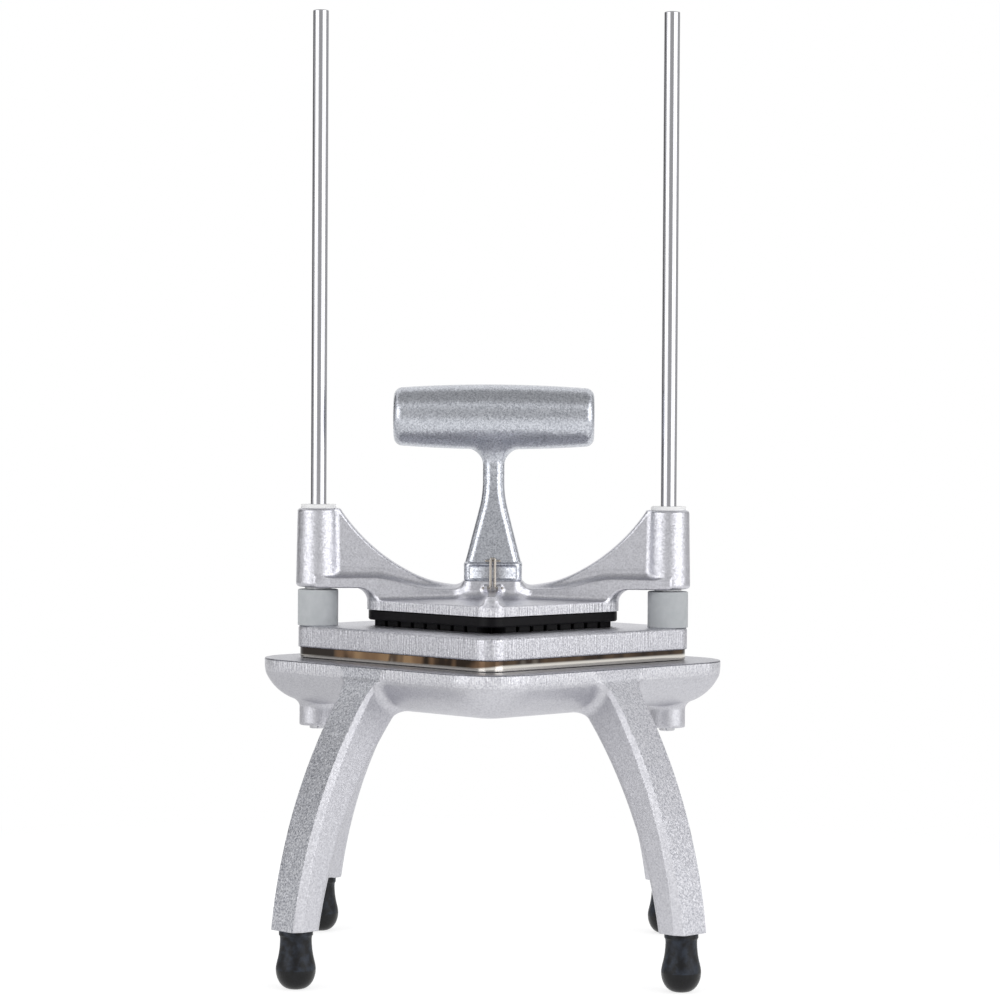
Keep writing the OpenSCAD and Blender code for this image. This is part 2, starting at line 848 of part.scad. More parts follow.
module handle() {
    foot_z = hub_top;
    color("#a3a5ab")
        difference() {
            union() {
                grip();
                intersection() {
                    stem_view(hub_w / 2 - 0.5, neck_w / 2, 2 * hub_depth);
                    rotate(90)
                        stem_view(hub_depth / 2 - lip_ledge, neck_depth / 2, 2 * grip_length);
                }
                translate([0, 0, foot_z])
                    linear_extrude(handle_foot_h)
                        hub_outline(hub_corner_r);
                bore(spigot_d, hub_top - spigot_h, hub_top + overcut);
            }
            for (side = [-1, 1])
                translate([0, side * hub_depth / 2, foot_z + handle_foot_h / 2 - 0.3])
                    rotate([90, 0, 0])
                        linear_extrude(2 * recess_depth, center = true) {
                            square([recess_w, recess_h - 2 * recess_r], center = true);
                            square([recess_w - 2 * recess_r, recess_h], center = true);
                            for (x = [-1, 1])
                                for (y = [-1, 1])
                                    translate([x * (recess_w / 2 - recess_r),
                                        y * (recess_h / 2 - recess_r)])
                                        circle(recess_r);
                        }
        }
}

// Wire clips

module clip() {
    leg_x = clip_legs / 2;
    arch_z = clip_bar_z + 0.3;
    color("#b8b2a8") {
        for (x = [-leg_x, leg_x]) {
            translate([x, -clip_y, clip_z])
                cylinder(d = wire_d, h = arch_z - clip_z);
            translate([x, -clip_y, clip_z])
                sphere(d = wire_d);
        }
        for (side = [-1, 1])
            translate([side * leg_x, -clip_y, clip_z])
                rotate([0, side * 90, 0])
                    cylinder(d = wire_d, h = clip_feet_w / 2 - leg_x);
        translate([0, -clip_y, arch_z])
            rotate([90, 0, 0])
                rotate_extrude(angle = 180)
                    translate([leg_x, 0])
                        circle(d = wire_d);
        translate([-clip_bar_w / 2, -clip_bar_y, clip_bar_z])
            rotate([0, 90, 0])
                cylinder(d = wire_d, h = clip_bar_w);
        for (x = [-leg_x, leg_x])
            translate([x, -clip_y, clip_bar_z])
                rotate([-90, 0, 0])
                    cylinder(d = wire_d, h = clip_y - clip_bar_y);
    }
}

base_casting();
rotate(-135) foot();  // foot_front_left
rotate(-45) foot();  // foot_front_right
rotate(135) foot();  // foot_rear_left
rotate(45) foot();  // foot_rear_right
translate([-rod_x, 0, 0]) guide_rod();  // guide_rod_left
translate([rod_x, 0, 0]) guide_rod();  // guide_rod_right
rod_set_screws();
blade_frame();
blade_band();
band_screws();
translate([-rod_x, 0, 0]) bumper();  // bumper_left
translate([rod_x, 0, 0]) bumper();  // bumper_right
for (n = blade_numbers) {
    blade_upper(n);
    blade_lower(n);
}
pusher_casting();
translate([-rod_x, 0, 0]) bushing_upper();  // bushing_upper_left
translate([rod_x, 0, 0]) bushing_upper();  // bushing_upper_right
translate([-rod_x, 0, 0]) bushing_lower();  // bushing_lower_left
translate([rod_x, 0, 0]) bushing_lower();  // bushing_lower_right
pusher_block();
block_screws();
handle();
clip();  // handle_clip_front
rotate(180) clip();  // handle_clip_rear
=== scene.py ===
"""Push-down vegetable chopper, dressed for pictures.

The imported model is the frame: metres, +Z up, the two guide rods on the X axis and the front
at -Y. Sizes in this file are millimetres until a mesh is made. Castings are written as
distance functions, so that their fillets have real radii, and are then turned into meshes.
"""

from __future__ import annotations

import itertools
import json
import logging
import math
from abc import ABC, abstractmethod
from collections.abc import Callable, Mapping, Sequence
from dataclasses import dataclass, field
from enum import Enum

import bpy
import numpy as np
from mathutils import Matrix, Vector

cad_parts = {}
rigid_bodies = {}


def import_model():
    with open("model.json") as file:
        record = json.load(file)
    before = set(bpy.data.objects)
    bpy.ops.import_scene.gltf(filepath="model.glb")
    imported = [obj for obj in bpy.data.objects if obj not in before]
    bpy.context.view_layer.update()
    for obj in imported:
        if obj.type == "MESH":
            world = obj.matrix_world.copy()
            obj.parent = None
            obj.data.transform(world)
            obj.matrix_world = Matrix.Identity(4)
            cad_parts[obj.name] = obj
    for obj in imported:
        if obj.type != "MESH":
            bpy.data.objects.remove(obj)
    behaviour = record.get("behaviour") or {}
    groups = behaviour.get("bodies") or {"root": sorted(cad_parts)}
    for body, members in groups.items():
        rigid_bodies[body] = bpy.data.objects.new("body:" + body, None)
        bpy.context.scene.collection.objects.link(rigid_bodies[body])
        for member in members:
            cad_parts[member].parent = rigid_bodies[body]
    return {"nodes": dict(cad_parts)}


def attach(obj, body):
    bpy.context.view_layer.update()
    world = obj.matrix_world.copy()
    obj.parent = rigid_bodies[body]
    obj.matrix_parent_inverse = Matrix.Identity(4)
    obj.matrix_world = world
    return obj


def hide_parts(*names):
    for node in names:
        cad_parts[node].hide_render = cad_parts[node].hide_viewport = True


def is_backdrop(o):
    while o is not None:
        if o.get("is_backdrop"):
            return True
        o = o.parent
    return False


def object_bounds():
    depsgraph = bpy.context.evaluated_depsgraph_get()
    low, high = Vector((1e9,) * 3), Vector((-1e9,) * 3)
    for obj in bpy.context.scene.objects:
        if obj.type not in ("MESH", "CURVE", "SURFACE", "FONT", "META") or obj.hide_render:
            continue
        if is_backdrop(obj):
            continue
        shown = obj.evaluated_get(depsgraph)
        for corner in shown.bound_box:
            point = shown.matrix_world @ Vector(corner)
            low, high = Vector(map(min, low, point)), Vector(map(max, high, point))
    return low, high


log = logging.getLogger("chopper")

MM = 0.001
FAR = 1000.0
CREASE = math.radians(35.0)
ROOT2 = math.sqrt(2.0)
WHITE = (1.0, 1.0, 1.0, 1.0)

# Sizes that several pieces share
ROD_X = 87.5
ROD_R = 3.97
SIDES = (("left", -ROD_X), ("right", ROD_X))
LEG_END_Z = 28.0
FRAME_TOP_Z = 167.2
PLATE_Z = 175.3
BOSS_LOW_Z = 186.2
BOSS_HIGH_Z = 225.7
BUSHING_R = 6.0
HUB_HALF_X = 14.4
HUB_HALF_Y = 13.0
HUB_R = 4.5
HUB_TOP_Z = 190.4
CLIP_Y = 14.6
CLIP_Z = 186.9

Array = np.ndarray
Shape = Callable[[Array], Array]


# Distances


def join(a: Array, b: Array, radius: float) -> Array:
    """Union of two distances, with a fillet of that radius in the hollow between them."""
    return np.maximum(np.minimum(a, b), radius) - np.hypot(
        np.maximum(radius - a, 0.0), np.maximum(radius - b, 0.0)
    )


def meet(a: Array, b: Array, radius: float) -> Array:
    """Common part of two distances, with an edge of that radius where they cross."""
    return -join(-a, -b, radius)


def cut(a: Array, b: Array, radius: float) -> Array:
    """What is left of a outside b, with an edge of that radius where they cross."""
    return meet(a, -b, radius)


def rounded_rect(p: Array, q: Array, half_p: float, half_q: float, radius: float) -> Array:
    """Distance in a plane to a rectangle with rounded corners, centred on the origin.

    Args:
        p: Place along the first pair of sides.
        q: Place along the second pair.
        half_p: Half the rectangle's reach along p.
        half_q: Half its reach along q.
        radius: Of its corners.

    Returns:
        Distances, negative inside.
    """
    over_p = np.abs(p) - (half_p - radius)
    over_q = np.abs(q) - (half_q - radius)
    outside = np.hypot(np.maximum(over_p, 0.0), np.maximum(over_q, 0.0))
    return outside + np.minimum(np.maximum(over_p, over_q), 0.0) - radius


def turned(points: Array) -> tuple[Array, Array]:
    """Plan coordinates along the tray's sides, which lie at 45 degrees to the rods."""
    return (points[:, 0] + points[:, 1]) / ROOT2, (points[:, 1] - points[:, 0]) / ROOT2


def unturned(points: Array) -> Array:
    """Points given along the tray's sides, as plain X and Y."""
    u, v = points[:, 0], points[:, 1]
    return np.column_stack([(u - v) / ROOT2, (u + v) / ROOT2, points[:, 2]])


def from_rods(points: Array) -> Array:
    """Distance in plan to the nearer rod's centre line."""
    return np.hypot(np.abs(points[:, 0]) - ROD_X, points[:, 1])


def smoothstep(t: Array) -> Array:
    """0 to 1 with level ends, as t runs from 0 to 1."""
    t = np.clip(t, 0.0, 1.0)
    return t * t * (3.0 - 2.0 * t)


@dataclass(frozen=True)
class Bow:
    """Circle through two points of a side view, with a given slope from upright at the first."""

    centre: tuple[float, float]
    radius: float

    @classmethod
    def through(cls, p: tuple[float, float], q: tuple[float, float], slope: float) -> Bow:
        """Make the circle.

        Args:
            p: Upper point, (reach, height).
            q: Lower point.
            slope: Angle from straight down at p, in degrees.

        Returns:
            The circle, whose arc from p to q bows outwards.
        """
        step = (q[0] - p[0], q[1] - p[1])
        angle = math.radians(slope)
        turn = angle - math.atan2(step[0], -step[1])
        radius = math.hypot(*step) / (2.0 * math.sin(turn))
        return cls((p[0] - radius * math.cos(angle), p[1] - radius * math.sin(angle)), radius)

    def outside(self, reach: Array, height: Array) -> Array:
        """How far points lie outside the circle."""
        return np.hypot(reach - self.centre[0], height - self.centre[1]) - self.radius


# Meshes


@dataclass
class Skin:
    """A mesh on its way to Blender, in millimetres."""

    points: Array
    faces: Array
    normals: Array | None = None
    finish_of: Array | None = None

    def __add__(self, other: Skin) -> Skin:
        """Both meshes as one, where neither has normals of its own."""
        return Skin(
            np.vstack([self.points, other.points]),
            np.vstack([self.faces, other.faces + len(self.points)]),
        )

    def moved(self, x: float) -> Skin:
        """A copy, shifted sideways."""
        return Skin(self.points + (x, 0.0, 0.0), self.faces, self.normals, self.finish_of)

    def spun(self, degrees: float) -> Skin:
        """A copy, turned about the upright axis.

        Args:
            degrees: How far, anticlockwise as seen from above.

        Returns:
            The copy.
        """
        c, s = math.cos(math.radians(degrees)), math.sin(math.radians(degrees))
        turn = np.array([[c, -s, 0.0], [s, c, 0.0], [0.0, 0.0, 1.0]])
        normals = None if self.normals is None else self.normals @ turn.T
        return Skin(self.points @ turn.T, self.faces, normals, self.finish_of)


@dataclass(frozen=True)
class Moulder:
    """Turns a distance function into quads that keep its edges and follow its fillets.

    Cells that the surface passes through get one point each, placed where the planes at the
    cell's crossings meet. Blocks of cells far from the surface are skipped.

    `block` is the side of a block in cells, `margin` how much farther than its corners a
    surface still counts as near, `batch` how many blocks are read at once, `probe` the step
    that normals are read with, `stray` how far a point may leave its cell, `nudge` how far
    towards a face's middle its normals are read, and `pull` what keeps a flat cell's point
    near its crossings.
    """

    low: tuple[float, float, float]
    high: tuple[float, float, float]
    cell: float
    block: int = 8
    margin: float = 1.25
    batch: int = 400
    probe: float = 0.02
    stray: float = 0.2
    nudge: float = 0.3
    pull: float = 0.06

    def slopes(self, shape: Shape, points: Array) -> Array:
        """Unit normals of the shape at points, from four nearby readings.

        Args:
            shape: Distance function.
            points: Rows of X, Y and Z.

        Returns:
            One unit normal a point.
        """
        corners = np.array([[1.0, -1, -1], [-1, -1, 1], [-1, 1, -1], [1, 1, 1]])
        total = np.zeros_like(points)
        for corner in corners:
            total += corner * shape(points + self.probe * corner)[:, None]
        return total / np.maximum(np.linalg.norm(total, axis=1, keepdims=True), 1e-9)

    def readings(self, shape: Shape) -> Array:
        """The shape's distance at the grid's points, exact near the surface.

        Args:
            shape: Distance function.

        Returns:
            Array of distances, or of large numbers with the right sign far from the surface.
        """
        low = np.array(self.low)
        blocks = np.ceil((np.array(self.high) - low) / (self.cell * self.block)).astype(int)
        centres = np.indices(blocks).reshape(3, -1).T
        away = shape(low + (centres + 0.5) * self.cell * self.block).reshape(blocks)
        far = np.sign(away).astype(np.float32) * FAR
        for axis in range(3):
            far = np.repeat(far, self.block, axis=axis)
        values = np.pad(far, ((0, 1),) * 3, mode="edge")
        reach = self.cell * self.block * math.sqrt(3.0) / 2.0 * self.margin
        near = np.argwhere(np.abs(away) < reach)
        steps = np.indices((self.block + 1,) * 3).reshape(3, -1).T
        for group in np.array_split(near, max(1, len(near) // self.batch)):
            index = (group[:, None, :] * self.block + steps[None]).reshape(-1, 3)
            values[tuple(index.T)] = shape(low + index * self.cell)
        return values

    def skin(self, shape: Shape) -> Skin:
        """Mesh the surface.

        Args:
            shape: Distance function, in millimetres.

        Returns:
            Quads with a normal at each of their corners.
        """
        low = np.array(self.low)
        values = self.readings(shape)
        inside = values < 0
        cells = np.array(values.shape)
        units = np.eye(3, dtype=int)
        crossings, outward, around = [], [], []
        for axis in range(3):
            first = [slice(None)] * 3
            second = [slice(None)] * 3
            first[axis], second[axis] = slice(None, -1), slice(1, None)
            at = np.argwhere(inside[tuple(first)] != inside[tuple(second)])
            step = units[axis]
            before = values[tuple(at.T)].astype(float)
            after = values[tuple((at + step).T)].astype(float)
            share = before / (before - after)
            points = low + (at + share[:, None] * step) * self.cell
            side = np.where(before < 0, 1.0, -1.0)
            error = shape(points) * side
            share = np.clip(share - error / np.maximum(np.abs(before) + np.abs(after), 1e-6), 0, 1)
            crossings.append(low + (at + share[:, None] * step) * self.cell)
            outward.append(before < 0)
            b, c = units[(axis + 1) % 3], units[(axis + 2) % 3]
            ring = np.stack([at - b - c, at - c, at, at - b], axis=1)
            around.append(np.ravel_multi_index(tuple(ring.transpose(2, 0, 1)), cells, mode="clip"))
        points, forward = np.vstack(crossings), np.concatenate(outward)
        ring = np.vstack(around)
        normals = self.slopes(shape, points)
        ids, faces = np.unique(ring, return_inverse=True)
        faces = faces.reshape(ring.shape)
        placed = self.settle(points, normals, faces, len(ids))
        corner = low + np.array(np.unravel_index(ids, cells)).T * self.cell
        stray = self.stray * self.cell
        placed = np.clip(placed, corner - stray, corner + self.cell + stray)
        faces = np.where(forward[:, None], faces, faces[:, ::-1])
        centres = placed[faces].mean(axis=1, keepdims=True)
        nudged = placed[faces] + self.nudge * (centres - placed[faces])
        normals = self.slopes(shape, nudged.reshape(-1, 3))
        return Skin(placed, faces, normals)

    def settle(self, points: Array, normals: Array, faces: Array, count: int) -> Array:
        """Place each cell's point where the planes at its crossings meet.

        Args:
            points: Crossings of the surface with the grid's edges.
            normals: Normals there.
            faces: The four cells round each crossing.
            count: How many cells there are.

        Returns:
            One point a cell.
        """
        cell_of = faces.ravel()
        source = np.repeat(np.arange(len(points)), 4)
        p, n = points[source], normals[source]

        def total(weights: Array) -> Array:
            """Sum over each cell."""
            return np.bincount(cell_of, weights=weights, minlength=count)

        number = total(np.ones(len(cell_of)))
        mean = np.stack([total(p[:, i]) for i in range(3)], axis=1) / number[:, None]
        offset = np.einsum("ij,ij->i", n, p - mean[cell_of])
        square = np.empty((count, 3, 3))
        for i in range(3):
            for j in range(i, 3):
                square[:, i, j] = square[:, j, i] = total(n[:, i] * n[:, j])
        right = np.stack([total(n[:, i] * offset) for i in range(3)], axis=1)
        square += np.eye(3) * (self.pull * number[:, None, None])
        return mean + np.linalg.solve(square, right[:, :, None])[:, :, 0]


def rounded_outline(corners: Sequence[tuple[float, float, float]], step: float = 12.0) -> Array:
    """Outline with an arc at each corner.

    Args:
        corners: (across, height, radius) of each corner of the closed outline.
        step: Largest turn between two points of an arc, in degrees.

    Returns:
        Points of the outline, in order.
    """
    straight, fits = math.radians(89.5), 0.49
    out: list[tuple[float, float]] = []
    for i, (x, z, radius) in enumerate(corners):
        here = np.array([x, z])
        before = np.array(corners[i - 1][:2]) - here
        after = np.array(corners[(i + 1) % len(corners)][:2]) - here
        lengths = np.linalg.norm(before), np.linalg.norm(after)
        before, after = before / lengths[0], after / lengths[1]
        half = math.acos(float(np.clip(before @ after, -1.0, 1.0))) / 2.0
        if radius <= 0.0 or half > straight:
            out.append((x, z))
            continue
        reach = min(radius / math.tan(half), fits * min(lengths))
        centre = here + (before + after) / np.linalg.norm(before + after) * reach / math.cos(half)
        start, end = here + before * reach - centre, here + after * reach - centre
        turn = math.pi - 2.0 * half
        sense = math.copysign(1.0, start[0] * end[1] - start[1] * end[0])
        count = max(1, math.ceil(math.degrees(turn) / step))
        for k in range(count + 1):
            a = sense * turn * k / count
            c, s = math.cos(a), math.sin(a)
            out.append(tuple(centre + [c * start[0] - s * start[1], s * start[0] + c * start[1]]))
    return np.array(out)


def woven(rows: int, count: int, closed: bool = True) -> Array:
    """Quads between rows of points, each of which is a closed ring.

    Args:
        rows: How many rows there are.
        count: Points in a row.
        closed: Whether the last row also joins the first.

    Returns:
        Numbers of the quads' points.
    """
    here = np.arange(count)
    after = (here + 1) % count
    row = np.arange(rows if closed else rows - 1)[:, None] * count
    next_row = (row + count) % (rows * count)
    quads = [row + here, row + after, next_row + after, next_row + here]
    return np.stack(quads, axis=2).reshape(-1, 4)


def lathe(outline: Array, sides: int = 96) -> Skin:
    """Spin an outline about the upright axis.

    Args:
        outline: (radius, height) points of a closed outline, anticlockwise, none on the axis.
        sides: Steps round the axis.

    Returns:
        The ring as a closed mesh.
    """
    angles = np.arange(sides) * 2.0 * math.pi / sides
    r, z = outline[:, 0], outline[:, 1]
    rings = [np.outer(np.cos(angles), r), np.outer(np.sin(angles), r), np.tile(z, (sides, 1))]
    points = np.stack(rings, axis=2).reshape(-1, 3)
    return Skin(points, woven(sides, len(outline))[:, ::-1])


def wire(path: Sequence[Sequence[float]], radius: float, sides: int = 16) -> Skin:
    """Round wire with domed ends along a path.

    Args:
        path: Points of its centre line.
        radius: Of the wire.
        sides: Steps round it.

    Returns:
        A closed mesh.
    """
    line = np.array(path, float)
    along = np.gradient(line, axis=0)
    along /= np.linalg.norm(along, axis=1, keepdims=True)
    dome = [(1.0, 0.0), (0.87, 0.5), (0.5, 0.87), (0.03, 1.0)]
    rings = [(line[0] - along[0] * radius * up, along[0], radius * wide) for wide, up in dome[::-1]]
    rings += [(p, d, radius) for p, d in zip(line[1:-1], along[1:-1])]
    rings += [(line[-1] + along[-1] * radius * up, along[-1], radius * wide) for wide, up in dome]
    aside = (0.3, 0.5, 0.81)  # A direction that no wire starts along
    across = np.cross(along[0], aside)
    points = []
    for centre, direction, wide in rings:
        across = across - direction * (across @ direction)
        across /= np.linalg.norm(across)
        other = np.cross(direction, across)
        angles = np.arange(sides)[:, None] * 2.0 * math.pi / sides
        points.append(centre + wide * (np.cos(angles) * across + np.sin(angles) * other))
    count = len(points)
    caps = []
    for first, sense in ((0, -1), ((count - 1) * sides, 1)):
        for k in range(sides // 2 - 1):
            quad = [k, k + 1, sides - 2 - k, sides - 1 - k]
            caps.append([first + q for q in (quad if sense > 0 else quad[::-1])])
    return Skin(np.vstack(points), np.vstack([woven(count, sides, closed=False), caps]))


def smooth_path(points: Sequence[Sequence[float]], radius: float, steps: int = 7) -> list[Vector]:
    """Path through points with its inner corners rounded.

    Args:
        points: Corners of the path.
        radius: Of the bends.
        steps: Points in a bend.

    Returns:
        Points of the path.
    """
    corners = [Vector(p) for p in points]
    out = [corners[0]]
    for before, here, after in zip(corners, corners[1:], corners[2:]):
        into, away = (here - before).normalized(), (after - here).normalized()
        turn = into.angle(away)
        reach = radius * math.tan(turn / 2.0)
        inward = (away - into).normalized()
        centre = here + inward * radius / math.cos(turn / 2.0)
        arm = here - into * reach - centre
        axis = into.cross(away)
        out += [centre + Matrix.Rotation(turn * k / steps, 3, axis) @ arm for k in range(steps + 1)]
    return [*out, corners[-1]]


def square_plan(half: float, radius: float) -> Array:
    """Plan of a square with rounded corners, anticlockwise."""
    corners = ((half, -half), (half, half), (-half, half), (-half, -half))
    return rounded_outline([(x, y, radius) for x, y in corners], step=6.0)


def outline_prism(outline: Array, low: float, high: float, bevel: float, hole: Array) -> Skin:
    """Upright wall between an outline and a hole of as many points, with bevelled outer edges.

    Args:
        outline: Plan of the outside, anticlockwise.
        low: Bottom.
        high: Top.
        bevel: Width of the outer edges' bevels.
        hole: Plan of the inside, point for point.

    Returns:
        The wall as a closed mesh.
    """
    shrunk = outline + (hole - outline) * (
        bevel / np.maximum(np.linalg.norm(hole - outline, axis=1, keepdims=True), 1e-6)
    )
    rings = [
        (hole, low), (shrunk, low), (outline, low + bevel), (outline, high - bevel),
        (shrunk, high), (hole, high),
    ]
    points = np.vstack([np.column_stack([plan, np.full(len(plan), z)]) for plan, z in rings])
    return Skin(points, woven(len(rings), len(outline)))


def bevelled_box(low: Sequence[float], high: Sequence[float], bevel: float) -> Skin:
    """Box with its edges and corners bevelled.

    Args:
        low: Corner with the smallest coordinates.
        high: The opposite corner.
        bevel: How far the bevels reach from the edges.

    Returns:
        A closed mesh: six sides, twelve edges and eight corners.
    """
    low_v, high_v = np.array(low, float), np.array(high, float)
    half = (high_v - low_v) / 2.0
    signs = np.array(list(itertools.product((-1, 1), repeat=3)))
    # Three points at each corner, one on each side that meets there. In a box of half size 1
    # with bevels of 0.5, those round a side, an edge or a corner reach farthest towards it.
    inset = 1.0 - np.eye(3)
    spots = np.vstack([signs * (half - bevel * row) for row in inset])
    unit = np.vstack([signs * (1.0 - 0.5 * row) for row in inset])
    faces = []
    for way in itertools.product((-1, 0, 1), repeat=3):
        if not any(way):
            continue
        reach = unit @ way
        corners = np.flatnonzero(reach > reach.max() - 0.1)
        spokes = unit[corners] - unit[corners].mean(axis=0)
        across = np.cross(way, spokes[0]) / np.linalg.norm(way)
        ring = corners[np.argsort(np.arctan2(spokes @ across, spokes @ spokes[0]))]
        faces.append(ring if len(ring) == 4 else [*ring, ring[-1]])
    return Skin((low_v + high_v) / 2.0 + spots, np.array(faces))


def blender_mesh(name: str, skin: Skin) -> bpy.types.Object:
    """Blender object of a skin, in metres.

    Args:
        name: Name of the piece.
        skin: Mesh in millimetres. A triangle is a quad whose last two points are the same.

    Returns:
        The new object, which shades sharp at its creases unless the skin has normals.
    """
    mesh = bpy.data.meshes.new(name)
    faces = skin.faces
    keep = np.ones(faces.shape, bool)
    keep[:, 3] = faces[:, 3] != faces[:, 2]
    sizes, loops = keep.sum(axis=1), faces[keep]
    mesh.vertices.add(len(skin.points))
    mesh.vertices.foreach_set("co", (skin.points * MM).astype(np.float32).ravel())
    mesh.loops.add(len(loops))
    mesh.loops.foreach_set("vertex_index", loops.astype(np.int32))
    mesh.polygons.add(len(faces))
    mesh.polygons.foreach_set("loop_start", np.concatenate([[0], np.cumsum(sizes)[:-1]]))
    mesh.polygons.foreach_set("loop_total", sizes)
    if skin.finish_of is not None:
        mesh.polygons.foreach_set("material_index", skin.finish_of.astype(np.int32))
    mesh.update(calc_edges=True)
    mesh.shade_smooth()
    if skin.normals is None:
        mesh.set_sharp_from_angle(angle=CREASE)
    else:
        mesh.normals_split_custom_set(skin.normals.tolist())
    piece = bpy.data.objects.new(name, mesh)
    bpy.context.scene.collection.objects.link(piece)
    return piece


def sheet(
    name: str, low: tuple[float, float], high: tuple[float, float], z: float = 0.0
) -> bpy.types.Object:
    """Level rectangle that looks up.

    Args:
        name: Name of the object.
        low: Its corner with the smallest X and Y, in metres.
        high: The opposite corner.
        z: Height at which it lies.

    Returns:
        The new object.
    """
    (x0, y0), (x1, y1) = low, high
    corners = [(x0, y0, z), (x1, y0, z), (x1, y1, z), (x0, y1, z)]
    return blender_mesh(name, Skin(np.array(corners) / MM, np.array([[0, 1, 2, 3]])))


# Finishes


def linear(code: str) -> tuple[float, float, float, float]:
    """Linear colour of an sRGB hex value such as #A0B1C2.

    Args:
        code: The hex value.

    Returns:
        Red, green, blue and an alpha of 1.
    """
    parts = [int(code[i : i + 2], 16) / 255.0 for i in (1, 3, 5)]
    parts = [c / 12.92 if c <= 0.04045 else ((c + 0.055) / 1.055) ** 2.4 for c in parts]
    return parts[0], parts[1], parts[2], 1.0


def per_metre(*sizes: float) -> tuple[float, ...]:
    """Scales of patterns whose features are that many millimetres across."""
    return tuple(1.0 / (size * MM) for size in sizes)


def cleared(owner: bpy.types.Material | bpy.types.World) -> bpy.types.NodeTree:
    """Empty node tree of a material or world.

    Args:
        owner: What the tree belongs to.

    Returns:
        The tree.
    """
    owner.use_nodes = True
    owner.node_tree.nodes.clear()
    return owner.node_tree


def add_node(
    tree: bpy.types.NodeTree,
    kind: str,
    inputs: Mapping[str | int, object] | None = None,
    **settings: object,
) -> bpy.types.Node:
    """Add a node with its settings and links.

    Args:
        tree: Where it goes.
        kind: Its type.
        inputs: What each input gets, by name or number: a value, a socket, or a node whose
            first output feeds it.
        settings: The node's own properties.

    Returns:
        The node.
    """
    node = tree.nodes.new(kind)
    for name, value in settings.items():
        setattr(node, name, value)
    for name, value in (inputs or {}).items():
        if isinstance(value, bpy.types.Node):
            value = value.outputs[0]
        if isinstance(value, bpy.types.NodeSocket):
            tree.links.new(value, node.inputs[name])
        else:
            node.inputs[name].default_value = value
    return node


@dataclass(frozen=True)
class Finish(ABC):
    """A material whose pattern is laid over each piece's own coordinates.

    Colours are sRGB hex values, and the sizes of patterns and depths are in millimetres.
    """

    name: str

    @abstractmethod
    def surface(self, tree: bpy.types.NodeTree, place: bpy.types.NodeSocket) -> dict[str, object]:
        """Add the pattern's nodes.

        Args:
            tree: Where they go.
            place: Coordinates of the piece, in metres.

        Returns:
            What the shader's inputs get, by name.
        """

    def material(self) -> bpy.types.Material:
        """Make the material.

        Returns:
            The material.
        """
        material = bpy.data.materials.new(self.name)
        tree = cleared(material)
        place = add_node(tree, "ShaderNodeTexCoord").outputs["Object"]
        shader = add_node(tree, "ShaderNodeBsdfPrincipled", self.surface(tree, place))
        add_node(tree, "ShaderNodeOutputMaterial", {"Surface": shader})
        return material


@dataclass(frozen=True)
class CastAluminium(Finish):
    """Sand-cast aluminium, tumbled: a grey satin whose grains each catch the light apart.

    Real grains are about half as wide; these are drawn coarser, so that they still show from
    the camera's distance. A larger tilt gives a livelier sparkle, a streak the upright lines
    of a linishing belt.
    """

    colour: str = "#D3D3D9"
    dark: str = "#BFBFC5"
    tilt: float = 0.17
    roughness: float = 0.36
    streak: float = 0.0
    grain: float = 0.55
    speck: float = 0.88
    cloud: float = 7.143
    belt: tuple[float, float, float] = (0.625, 0.625, 14.286)
    belt_depth: float = 0.4
    oxide: tuple[float, float] = (0.3, 0.62)
    uneven: tuple[float, float] = (-0.06, 0.08)

    def surface(self, tree: bpy.types.NodeTree, place: bpy.types.NodeSocket) -> dict[str, object]:
        """Lean each grain's face its own way, with oxide in specks and uneven gloss in clouds.

        Args:
            tree: Where the nodes go.
            place: Coordinates of the piece, in metres.

        Returns:
            What the shader's inputs get, by name.
        """
        grains, specks, clouds = per_metre(self.grain, self.speck, self.cloud)
        grain = add_node(tree, "ShaderNodeTexVoronoi", {"Vector": place, "Scale": grains})
        speck = add_node(
            tree, "ShaderNodeTexNoise", {"Vector": place, "Scale": specks, "Detail": 3.0}
        )
        cloud = add_node(
            tree, "ShaderNodeTexNoise", {"Vector": place, "Scale": clouds, "Detail": 3.0}
        )
        oxide = {"From Min": self.oxide[0], "From Max": self.oxide[1]}
        share = add_node(tree, "ShaderNodeMapRange", {"Value": speck, **oxide})
        colour = add_node(
            tree, "ShaderNodeMix",
            {0: share, 6: linear(self.dark), 7: linear(self.colour)}, data_type="RGBA",
        )
        lean = add_node(
            tree, "ShaderNodeVectorMath",
            {0: grain.outputs["Color"], 1: (0.5, 0.5, 0.5)}, operation="SUBTRACT",
        )
        lean = add_node(
            tree, "ShaderNodeVectorMath", {0: lean, "Scale": self.tilt}, operation="SCALE"
        )
        bearing = add_node(tree, "ShaderNodeNewGeometry").outputs["Normal"]
        if self.streak:
            lines = add_node(
                tree, "ShaderNodeMapping", {"Vector": place, "Scale": per_metre(*self.belt)}
            )
            lines = add_node(tree, "ShaderNodeTexNoise", {"Vector": lines, "Scale": 1.0})
            depth = {"Strength": self.streak, "Distance": self.belt_depth * MM}
            bearing = add_node(tree, "ShaderNodeBump", {"Height": lines, **depth})
        normal = add_node(tree, "ShaderNodeVectorMath", {0: bearing, 1: lean}, operation="ADD")
        smooth, rough = (self.roughness + change for change in self.uneven)
        gloss = {"To Min": smooth, "To Max": rough}
        return {
            "Base Color": colour.outputs[2],
            "Metallic": 1.0,
            "Roughness": add_node(tree, "ShaderNodeMapRange", {"Value": cloud, **gloss}),
            "Normal": add_node(tree, "ShaderNodeVectorMath", {0: normal}, operation="NORMALIZE"),
        }


